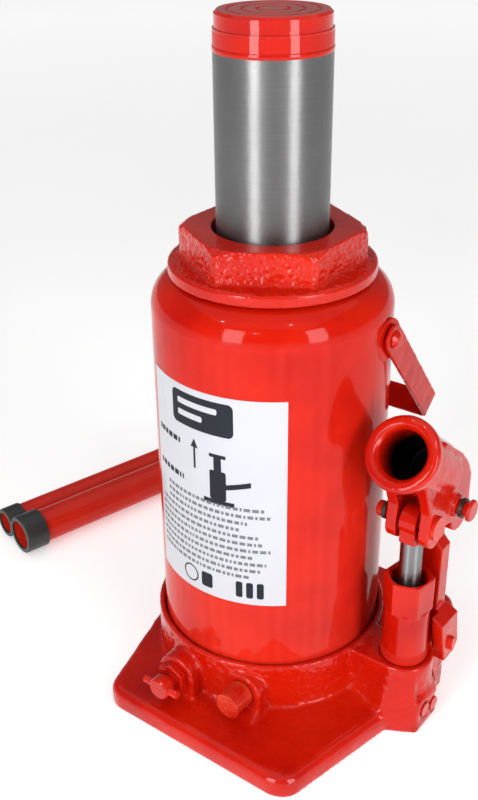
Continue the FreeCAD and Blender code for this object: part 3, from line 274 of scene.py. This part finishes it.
def turned_gloss(shader, amount):
    """Stretch the highlights along Z, as turning marks round Z do."""
    tangent = shader.tree.nodes.new("ShaderNodeTangent")
    tangent.direction_type = "RADIAL"
    tangent.axis = "Z"
    shader.feed(tangent.outputs[0], "Tangent")
    shader.set(Anisotropic=amount, Anisotropic_Rotation=0.25)


def paint_above(shader, height, tone, rough, normal, aniso):
    """Cover the steel with red paint above a ragged line; gives the new tone and roughness."""
    ragged = shader.math("MULTIPLY", shader.math("SUBTRACT", shader.noise(240, 3), 0.5), PAINT_EDGE)
    cover = shader.math("GREATER_THAN", shader.math("ADD", shader.axis("Z"), ragged), height)
    bare = shader.math("SUBTRACT", 1.0, cover)
    shader.feed(bare, "Metallic")
    shader.feed(shader.math("MULTIPLY", bare, aniso), "Anisotropic")
    shader.feed(shader.math("MULTIPLY", bare, 0.5), "Specular IOR Level")
    shader.feed(shader.math("MULTIPLY", cover, 0.6), "Coat Weight")
    shader.feed(shader.bump(shader.noise(300, 2), 0.1 * MM, 0.5, normal), "Normal")
    return shader.mix(cover, tone, RED), shader.mix(cover, rough, (0.18, 0.18, 0.18))


def steel(name, tint, roughness, aniso=0.0, paint_from=None):
    """Bright steel with fine turning marks round Z; it may be painted above a height."""
    shader = Shader(name)
    marks = shader.noise(1.0, 3, 0.7, shader.stretched(*TURNING_MARKS))
    dark = tuple(channel * 0.78 for channel in tint)
    tone = shader.mix(shader.grey_ramp(shader.noise(35, 4), 0.0, 1.0, 0.3, 0.75), dark, tint)
    tone = shader.mix(shader.math("MULTIPLY", marks, 0.25), tone, MARK_GLINT)
    rough = shader.grey_ramp(marks, roughness * 0.8, roughness * 1.4)
    normal = shader.bump(marks, 0.02 * MM, 0.6)
    shader.feed(normal, "Normal")
    shader.set(Metallic=1.0)
    if aniso:
        turned_gloss(shader, aniso)
    if paint_from is not None:
        tone, rough = paint_above(shader, paint_from, tone, rough, normal, aniso)
    shader.feed(tone, "Base Color")
    shader.feed(rough, "Roughness")
    return shader.material


def plastic(name, dark, light, roughness, grain=1400):
    """Moulded plastic or rubber with a fine grain."""
    shader = Shader(name)
    shader.feed(shader.mix(shader.noise(60, 4), dark, light), "Base Color")
    shader.feed(shader.grey_ramp(shader.noise(300, 3), roughness * 0.8, roughness * 1.25), "Roughness")
    shader.feed(shader.bump(shader.noise(grain, 2), PEEL), "Normal")
    return shader.material


def film(name, dark, light, roughness, coat=0.4):
    """Printed label film."""
    shader = Shader(name)
    shader.feed(shader.mix(shader.noise(18, 3), dark, light), "Base Color")
    shader.feed(shader.grey_ramp(shader.noise(120, 3), roughness, roughness * 1.6), "Roughness")
    shader.feed(shader.bump(shader.noise(55, 2), 0.12 * MM, 0.4), "Normal")
    shader.set(Coat_Weight=coat, Coat_Roughness=0.12, Specular_IOR_Level=coat)
    return shader.material


def painted_materials():
    return {
        "cast": enamel("red_cast_enamel", grain=520, depth=0.35 * MM),
        "socket": enamel("red_socket_enamel", grain=520, depth=0.3 * MM, bore=True),
        "rough_cast": enamel("red_rough_cast_enamel", grain=760, depth=0.4 * MM, roughness=0.14, waves=1.8),
        "sheet": enamel("red_sheet_enamel", 260, 0.02 * MM, roughness=0.12, waves=0.16, coat=0.42),
        "machined": enamel("red_machined_enamel", 380, 0.08 * MM, roughness=0.14, waves=0.4),
        "primer": enamel(
            "red_sawn_end", 1500, 0.5 * MM, roughness=0.42, warm=(0.85, 0.10, 0.04), deep=(0.66, 0.04, 0.02)
        ),
    }


def metal_materials():
    return {
        "ram": steel(
            "ground_ram_steel", (0.15, 0.149, 0.147), roughness=0.37, aniso=0.9, paint_from=RAM_PAINT_LOW
        ),
        "rod": steel(
            "polished_rod_steel", (0.20, 0.20, 0.20), roughness=0.3, aniso=0.9, paint_from=PLUNGER_PAINT_LOW
        ),
        "steel": steel("machined_steel", (0.42, 0.42, 0.43), roughness=0.34),
        "copper": steel("soft_copper", (0.70, 0.32, 0.18), roughness=0.36),
    }


def other_materials():
    return {
        "oxide": plastic("black_oxide", (0.008, 0.008, 0.009), (0.022, 0.022, 0.024), 0.36, 900),
        "rubber": plastic("nitrile_rubber", (0.010, 0.010, 0.010), (0.020, 0.020, 0.020), 0.55),
        "bearing": plastic("bearing_plastic", (0.60, 0.56, 0.46), (0.70, 0.66, 0.56), 0.5),
        "sleeve": plastic("black_sleeve_plastic", (0.010, 0.012, 0.012), (0.030, 0.032, 0.032), 0.42, 1100),
        "film": film("white_label_film", (0.50, 0.505, 0.545), (0.53, 0.535, 0.575), 0.3),
        "ink": film("dark_label_ink", (0.016, 0.018, 0.024), (0.028, 0.030, 0.038), 0.3, 0.04),
        "grey_ink": film("grey_label_ink", (0.13, 0.13, 0.15), (0.20, 0.20, 0.22), 0.35, 0.04),
    }


SLOT_MATERIALS = {
    "red_cast": "cast",
    "red_sheet": "sheet",
    "red_machined": "machined",
    "bright_steel": "ram",
    "polished_rod": "rod",
    "plain_steel": "steel",
    "black_oxide": "oxide",
    "seal_rubber": "rubber",
    "copper_gasket": "copper",
    "wear_plastic": "bearing",
    "sleeve_plastic": "sleeve",
    "label_film": "film",
}
PAINTED_OVER = {"channel_plugs": "machined"}


def dress_nodes(materials):
    """Give each CAD node its finish; the gallery plugs are painted with the foot."""
    slots = {row["node"]: row["material_slot"] for row in frame["record"]["subparts"]}
    for name, node in nodes.items():
        chosen = PAINTED_OVER.get(name) or SLOT_MATERIALS[slots[name]]
        node.data.materials.clear()
        node.data.materials.append(materials[chosen])


# ---------------------------------------------------------------- castings

WELD = 0.001 * MM
SOFT_PASSES = 60

UNDERSIDE = 1.5 * MM
PLATE_TOP = 12.5 * MM
BOSS_FOOT_X = (64 * MM, 74 * MM)
BOSS_FOOT_Y = 12 * MM
BOSS_FOOT_LOW = (1.5 * MM, 5.5 * MM)
BOSS_FOOT_HIGH = (38 * MM, 32 * MM)
HUB_GRAIN_REACH = (88 * MM, 72 * MM)

NUT_BORE = 33.5 * MM
NUT_LOW = 243.5 * MM
NUT_TOP = 266 * MM
NUT_RIM_TOP = 251.5 * MM
NUT_RIM_RADIUS = 51.5 * MM
NUT_ROOT_RADIUS = 36 * MM
NUT_ROOT_LOW = (249 * MM, 250 * MM)
NUT_ROOT_HIGH = (260 * MM, 255 * MM)

SAWN_END = -76.5 * MM


def body_holding(node):
    for body, members in frame["record"]["behaviour"]["bodies"].items():
        if node in members:
            return body


def apply_modifiers(piece):
    """Keep the piece's mesh as its modifiers make it."""
    graph = bpy.context.evaluated_depsgraph_get()
    mesh = bpy.data.meshes.new_from_object(piece.evaluated_get(graph))
    piece.modifiers.clear()
    piece.data = mesh


def soften_where(piece, weight):
    """More smoothing where the weight of a point is above zero."""
    group = piece.vertex_groups.new(name="soft")
    for vertex in piece.data.vertices:
        amount = weight(vertex.co)
        if amount > 0:
            group.add([vertex.index], amount, "REPLACE")
    smooth = piece.modifiers.new("soft_spot", "SMOOTH")
    smooth.factor = 0.5
    smooth.iterations = SOFT_PASSES
    smooth.vertex_group = "soft"
    apply_modifiers(piece)
    piece.vertex_groups.clear()


def soft_copy(node, voxel, passes):
    """Copy of a node, rebuilt in voxels and smoothed."""
    piece = bpy.data.objects.new(node + "_skin", nodes[node].data.copy())
    bpy.context.scene.collection.objects.link(piece)
    weld = piece.modifiers.new("weld", "WELD")
    weld.merge_threshold = WELD
    remesh = piece.modifiers.new("remesh", "REMESH")
    remesh.mode = "VOXEL"
    remesh.voxel_size = voxel
    smooth = piece.modifiers.new("smooth", "SMOOTH")
    smooth.factor = 0.5
    smooth.iterations = passes
    apply_modifiers(piece)
    return piece


def recast(node, voxel, passes, material, skin, soft):
    """Stand a soft-cornered copy with a cast skin in for a node."""
    piece = soft_copy(node, voxel * MM, passes)
    if soft is not None:
        soften_where(piece, soft)
    mesh = piece.data
    if skin is not None:
        normals = [vertex.normal.copy() for vertex in mesh.vertices]
        for vertex, normal in zip(mesh.vertices, normals):
            vertex.co += normal * skin(vertex.co, normal)
    mesh.materials.clear()
    mesh.materials.append(material)
    mesh.shade_smooth()
    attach(piece, body_holding(node))
    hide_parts(node)


def grain(point, size, seed=0.0):
    """Noise from -1 to 1 whose lumps are about this size in metres."""
    return noise.noise(point / size + Vector((seed, seed, seed)))


def fade(value, start, end):
    """Straight ramp from 0 at start to 1 at end."""
    return max(0.0, min(1.0, (value - start) / (end - start)))


def boss_foot(point):
    """Weight of the foot and front of the pump boss, clear of its top and bottom faces."""
    if point.y > BOSS_FOOT_Y:
        return 0.0
    upright = min(fade(point.z, *BOSS_FOOT_HIGH), fade(point.z, *BOSS_FOOT_LOW))
    return min(upright, fade(point.x, *BOSS_FOOT_X))


def base_skin(point, normal):
    """Sand-cast lumps; the plate's underside stays flat and its rim is smoother."""
    if point.z < UNDERSIDE:
        return 0.0
    wide = grain(point, 7 * MM) * 0.22 * MM
    fine = grain(point, 2.3 * MM, 7) * 0.24 * MM
    share = 1.0
    if point.z < PLATE_TOP:
        share = max(0.15, fade(math.hypot(point.x, point.y), *HUB_GRAIN_REACH))
    return wide + fine * share * (1.0 - abs(normal.z) * 0.4)


def nut_root(point):
    """Weight of the corner between the nut's sides and its round flange."""
    if math.hypot(point.x, point.y) < NUT_ROOT_RADIUS:
        return 0.0
    return min(fade(point.z, *NUT_ROOT_LOW), fade(point.z, *NUT_ROOT_HIGH))


def nut_skin(point, normal):
    """Rough forging on the nut's sides; its bore, top face and underside stay smooth."""
    radius = math.hypot(point.x, point.y)
    top_face = normal.z > 0.9 and point.z > NUT_TOP
    if radius < NUT_BORE or top_face or point.z < NUT_LOW:
        return 0.0
    pits = grain(point, 1.7 * MM, 3) * 0.42 * MM + grain(point, 3.6 * MM, 5) * 0.34 * MM
    rim = point.z < NUT_RIM_TOP and radius > NUT_RIM_RADIUS
    return pits * (0.12 if rim else 1.0)


def lever_skin(point, normal):
    """Gentle waves of a small casting."""
    return grain(point, 7 * MM, 2) * 0.16 * MM + grain(point, 2 * MM, 4) * 0.05 * MM


def sawn_skin(point, normal):
    """Rough sawn end of the safety plug."""
    if point.y > SAWN_END:
        return 0.0
    return grain(point, 1.2 * MM, 9) * 0.25 * MM


def make_castings(materials):
    """Each row gives a node, its voxel in mm, smoothing passes, material, skin and soft spot."""
    for node, voxel, passes, material, skin, soft in (
        ("base_casting", 0.85, 14, "cast", base_skin, boss_foot),
        ("top_nut", 0.55, 8, "rough_cast", nut_skin, nut_root),
        ("handle_socket", 0.55, 8, "socket", lever_skin, None),
        ("lever_link", 0.5, 6, "cast", lever_skin, None),
        ("carry_handle", 0.42, 2, "sheet", lever_skin, None),
        ("handle_ears", 0.5, 3, "sheet", None, None),
        ("handle_rivets", 0.35, 4, "machined", None, None),
        ("safety_valve_plug", 0.35, 4, "primer", sawn_skin, None),
        ("release_gland", 0.32, 4, "machined", None, None),
        ("pump_cylinder", 0.45, 3, "machined", None, None),
    ):
        recast(node, voxel, passes, materials[material], skin, soft)


# ---------------------------------------------------------------- turned details

LATHE_SIDES = 96

PUMP_AXIS = (88.5 * MM, 1 * MM)

# Outline sizes of the thread and the bead are in mm, as lathe() takes them.
THREAD_TURNS = 5
THREAD_PITCH = 1.15
THREAD_LOW = 40.35
THREAD_ROOT = 12.3
THREAD_CREST = 12.9
THREAD_FLANK = 0.30
THREAD_FLAT = 0.18

BEAD_RADIUS = 27.95
BEAD_INNER = 27.7
BEAD_RISE = 0.4
BEAD_HEIGHT = 2.6
BEAD_STEPS = 8


def new_mesh_object(name, vertices, faces, material, body):
    mesh = bpy.data.meshes.new(name)
    mesh.from_pydata(vertices, [], faces)
    mesh.materials.append(material)
    mesh.update()
    piece = bpy.data.objects.new(name, mesh)
    bpy.context.scene.collection.objects.link(piece)
    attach(piece, body)
    return piece


def lathe(name, profile, centre, body, material):
    """Ring-shaped piece from a closed outline of radius and height pairs in mm."""
    count = len(profile)
    vertices = []
    faces = []
    for step in range(LATHE_SIDES):
        angle = 2 * math.pi * step / LATHE_SIDES
        across, along = math.cos(angle) * MM, math.sin(angle) * MM
        vertices += [(centre[0] + r * across, centre[1] + r * along, z * MM) for r, z in profile]
        after = (step + 1) % LATHE_SIDES
        for i in range(count):
            j = (i + 1) % count
            faces.append((step * count + i, after * count + i, after * count + j, step * count + j))
    return new_mesh_object(name, vertices, faces, material, body)


def make_threads(materials):
    """Turns of the barrel's thread that stay in sight above the boss."""
    for turn in range(THREAD_TURNS):
        start = THREAD_LOW + turn * THREAD_PITCH
        profile = [
            (THREAD_ROOT, start),
            (THREAD_CREST, start + THREAD_FLANK),
            (THREAD_CREST, start + THREAD_FLANK + THREAD_FLAT),
            (THREAD_ROOT, start + 2 * THREAD_FLANK + THREAD_FLAT),
        ]
        name = f"pump_thread_{turn + 1}"
        lathe(name, profile, PUMP_AXIS, "base", materials["machined"])


def make_paint_bead(materials):
    """Thick lower edge of the paint on the end of the ram."""
    low = RAM_PAINT_LOW / MM
    profile = [(BEAD_INNER, low), (BEAD_INNER, low + BEAD_HEIGHT)]
    for step in range(BEAD_STEPS + 1):
        turn = math.pi * step / BEAD_STEPS
        height = low + BEAD_HEIGHT / 2 * (1 + math.cos(turn))
        profile.append((BEAD_RADIUS + BEAD_RISE * math.sin(turn), height))
    bead = lathe("ram_paint_bead", profile, (0, 0), "ram", materials["machined"])
    bead.data.shade_smooth()


# ---------------------------------------------------------------- label print

INK_RADIUS = 62.25 * MM
INK_RISE = 0.04 * MM
PALE_INK_RISE = 1.8 * INK_RISE
ARC_STEP = math.radians(1.0)
CORNER_ROWS = 6
RING_PIECES = 28

# Places on the label: start and end in degrees round the tank, low and high in mm, corner radius in mm.
# The ring's row gives its angle, height, outer and inner radius.
PANEL = (-107.0, -72.0, 178.5, 197.0, 3.0)
STRIPES = ((-103.0, -80.0, 190.0, 193.2, 1.0), (-103.0, -88.0, 183.5, 186.7, 1.0))
SQUARE_MARK = (-91.0, -84.5, 84.0, 93.2, 1.5)
RING_MARK = (-98.0, 88.6, 5.4, 4.5)
BAR_MARKS = (-72.0, 83.5, 93.5, 1.2)
BAR_MARK_WIDTH, BAR_MARK_STEP, BAR_MARK_COUNT = 3.4, 5.2, 3

# Short lines: start, end, middle height and seed.  Small lines: the end of each row.
SHORT_LINES = ((-121.5, -101.0, 168.0, 3), (-121.5, -99.5, 147.5, 3))
SHORT_LINE_HALF = 1.5
SMALL_LINE_ENDS = (-58, -55, -66, -70, -60, -58, -55, -62, -57, -60, -64)
SMALL_LINE_STARTS = (-114.0, -121.5)
INDENTED_ROWS = 3
SMALL_LINE_TOP, SMALL_LINE_STEP, SMALL_LINE_HALF = 138.5, 4.15, 0.95
SMALL_LINE_SEED = 11
WORD_GAP = 0.9
SHORTEST_WORD = 0.9
LONGEST_WORD = 4.6
LONGEST_SMALL_WORD = 3.2
LAST_WORD_ROOM = 0.8

GROUND = (-88.0, -72.0, 138.8, 141.4)
TANK_SIGN = (-84.5, -76.0, 141.4, 158.5, 1.2)
RAM_SIGN = (-82.2, -78.3, 158.5, 166.0)
TOP_SIGN = (-84.5, -76.0, 166.0, 168.0)
LEVER_SIGN = (-78, -64)
LEVER_SIGN_LOW, LEVER_SIGN_HIGH, LEVER_SIGN_SLOPE = 148.0, 151.0, 0.3
ARROW_STEM = (-93.6, -92.4, 156.0, 168.0)
ARROW_TIP = ((-95.2, 168.0), (-90.8, 168.0), (-93.0, 173.0))


class Print:
    """Thin slabs of ink wrapped on the label, gathered in one mesh."""

    def __init__(self, rise=INK_RISE):
        self.rise = rise
        self.vertices = []
        self.faces = []

    def on_label(self, angle, height, rise):
        radius = INK_RADIUS + rise
        return (radius * math.cos(angle), radius * math.sin(angle), height)

    def slab(self, outline):
        """Closed slab from a fan-shaped outline of angle and height pairs."""
        start = len(self.vertices)
        count = len(outline)
        for rise in (-self.rise, self.rise):
            self.vertices += [self.on_label(angle, height, rise) for angle, height in outline]
        inner = [start + i for i in range(count)]
        outer = [start + count + i for i in range(count)]
        self.faces.append(tuple(reversed(inner)))
        self.faces.append(tuple(outer))
        for i in range(count):
            j = (i + 1) % count
            self.faces.append((inner[i], inner[j], outer[j], outer[i]))

    def bar(self, start, end, low, high):
        """Upright strips side by side, so the bar follows the tank's curve."""
        strips = max(1, math.ceil((end - start) / ARC_STEP))
        begin = len(self.vertices)
        for step in range(strips + 1):
            angle = start + (end - start) * step / strips
            for rise, height in ((-1, low), (-1, high), (1, high), (1, low)):
                self.vertices.append(self.on_label(angle, height, rise * self.rise))
        for step in range(strips):
            at = begin + 4 * step
            for side in range(4):
                after = (side + 1) % 4
                self.faces.append((at + side, at + after, at + 4 + after, at + 4 + side))
        last = begin + 4 * strips
        self.faces.append((begin + 3, begin + 2, begin + 1, begin))
        self.faces.append((last, last + 1, last + 2, last + 3))

    def rounded(self, start, end, low, high, corner):
        """Bar with rounded corners, built from stacked bars."""
        for row in range(CORNER_ROWS):
            bottom, top = corner * row / CORNER_ROWS, corner * (row + 1) / CORNER_ROWS
            level = 1 - (row + 0.5) / CORNER_ROWS
            inset = corner / INK_RADIUS * (1 - math.sqrt(1 - level ** 2))
            self.bar(start + inset, end - inset, low + bottom, low + top)
            self.bar(start + inset, end - inset, high - top, high - bottom)
        self.bar(start, end, low + corner, high - corner)

    def ring(self, centre, height, outer, inner):
        """Round ring of short slabs."""
        for step in range(RING_PIECES):
            corners = []
            for radius, turn in ((inner, step), (outer, step), (outer, step + 1), (inner, step + 1)):
                around = 2 * math.pi * turn / RING_PIECES
                across = centre + radius * math.cos(around) / INK_RADIUS
                corners.append((across, height + radius * math.sin(around)))
            self.slab(corners)

    def finish(self, name, material):
        new_mesh_object(name, self.vertices, self.faces, material, "base")


def degrees_bar(target, start, end, low, high, corner=None):
    limits = (math.radians(start), math.radians(end), low * MM, high * MM)
    if corner:
        target.rounded(*limits, corner * MM)
    else:
        target.bar(*limits)


def words(start, end, longest, seed):
    """Word-like dashes between two angles in degrees."""
    source = random.Random(seed)
    at = start
    dashes = []
    while at < end - LAST_WORD_ROOM:
        length = min(source.uniform(SHORTEST_WORD, longest), end - at)
        dashes.append((at, at + length))
        at += length + WORD_GAP
    return dashes


def make_pictogram(dark):
    """Plain sign of a load being lifted: an arrow beside a jack on a ground line."""
    degrees_bar(dark, *GROUND)
    for degree in range(*LEVER_SIGN):
        rise = (degree - LEVER_SIGN[0]) * LEVER_SIGN_SLOPE
        degrees_bar(dark, degree, degree + 1, LEVER_SIGN_LOW + rise, LEVER_SIGN_HIGH + rise)
    for sign in (TANK_SIGN, RAM_SIGN, TOP_SIGN, ARROW_STEM):
        degrees_bar(dark, *sign)
    dark.slab([(math.radians(angle), height * MM) for angle, height in ARROW_TIP])


def make_marks(dark):
    """Plain ring, square and bars along the label's lower edge."""
    angle, height, outer, inner = RING_MARK
    dark.ring(math.radians(angle), height * MM, outer * MM, inner * MM)
    degrees_bar(dark, *SQUARE_MARK)
    first, low, high, corner = BAR_MARKS
    for step in range(BAR_MARK_COUNT):
        start = first + BAR_MARK_STEP * step
        degrees_bar(dark, start, start + BAR_MARK_WIDTH, low, high, corner)


def make_small_lines(grey):
    for row, end in enumerate(SMALL_LINE_ENDS):
        height = SMALL_LINE_TOP - row * SMALL_LINE_STEP
        start = SMALL_LINE_STARTS[0 if row < INDENTED_ROWS else 1]
        for word_start, word_end in words(start, end, LONGEST_SMALL_WORD, SMALL_LINE_SEED + row):
            degrees_bar(grey, word_start, word_end, height - SMALL_LINE_HALF, height + SMALL_LINE_HALF)


def make_label_print(materials):
    dark, grey = Print(), Print()
    pale = Print(PALE_INK_RISE)
    degrees_bar(dark, *PANEL)
    for stripe in STRIPES:
        degrees_bar(pale, *stripe)
    for start, end, height, seed in SHORT_LINES:
        for word_start, word_end in words(start, end, LONGEST_WORD, seed):
            degrees_bar(dark, word_start, word_end, height - SHORT_LINE_HALF, height + SHORT_LINE_HALF)
    make_pictogram(dark)
    make_small_lines(grey)
    make_marks(dark)
    dark.finish("label_print_dark", materials["ink"])
    grey.finish("label_print_grey", materials["grey_ink"])
    pale.finish("label_print_pale", materials["film"])


# ---------------------------------------------------------------- floor and light

AIM = Vector((0, 0, 0.18))
FLOOR_HALF = 9.0
FLOOR_GLOW = (0.45, 0.70)
FLOOR_GLOW_REACH = (0.8, 2.5)
SKY_STRENGTH = 0.22


def make_floor():
    half = FLOOR_HALF
    corners = [(-half, -half, 0), (half, -half, 0), (half, half, 0), (-half, half, 0)]
    mesh = bpy.data.meshes.new("floor")
    mesh.from_pydata(corners, [], [(0, 1, 2, 3)])
    floor = bpy.data.objects.new("floor", mesh)
    bpy.context.scene.collection.objects.link(floor)
    shader = Shader("pale_floor")
    tone = shader.mix(shader.noise(3, 2), (0.86, 0.86, 0.86), (0.88, 0.88, 0.88))
    shader.feed(tone, "Base Color")
    shader.feed(tone, "Emission Color")
    shader.set(Roughness=0.7)
    away = shader.vector_math("LENGTH", shader.place)
    shader.feed(shader.map_range(away, *FLOOR_GLOW_REACH, *FLOOR_GLOW), "Emission Strength")
    mesh.materials.append(shader.material)


def softbox(name, azimuth, elevation, distance, width, height, power):
    """Area light aimed at the jack; azimuth 0 is in front, as seen from -Y."""
    turn, rise = math.radians(azimuth), math.radians(elevation)
    away = Vector((math.sin(turn) * math.cos(rise), -math.cos(turn) * math.cos(rise), math.sin(rise)))
    light = bpy.data.lights.new(name, "AREA")
    light.shape = "RECTANGLE"
    light.size = width
    light.size_y = height
    light.energy = power
    lamp = bpy.data.objects.new(name, light)
    bpy.context.scene.collection.objects.link(lamp)
    lamp.location = AIM + away * distance
    lamp.rotation_euler = (-away).to_track_quat("-Z", "Y").to_euler()


def make_light():
    """A wide soft ceiling, two upright strips for the ram's gleam, and small glints for wet paint."""
    world = bpy.data.worlds.new("studio")
    world.use_nodes = True
    background = world.node_tree.nodes["Background"]
    background.inputs["Color"].default_value = (1, 1, 1, 1)
    background.inputs["Strength"].default_value = SKY_STRENGTH
    bpy.context.scene.world = world
    softbox("ceiling", azimuth=30, elevation=88, distance=2.9, width=5.0, height=5.0, power=41)
    softbox("left_strip", azimuth=0, elevation=14, distance=1.3, width=0.40, height=0.95, power=10.5)
    softbox("right_strip", azimuth=76, elevation=14, distance=1.3, width=0.40, height=0.95, power=9.5)
    glints = (("low_glint", 20, 30), ("high_glint", 60, 58), ("left_glint", -25, 50))
    for name, azimuth, elevation in glints:
        softbox(name, azimuth, elevation, distance=1.6, width=0.05, height=0.05, power=1.1)


make_camera()
materials = {**painted_materials(), **metal_materials(), **other_materials()}
dress_nodes(materials)
make_castings(materials)
make_threads(materials)
make_paint_bead(materials)
make_label_print(materials)
make_floor()
make_light()
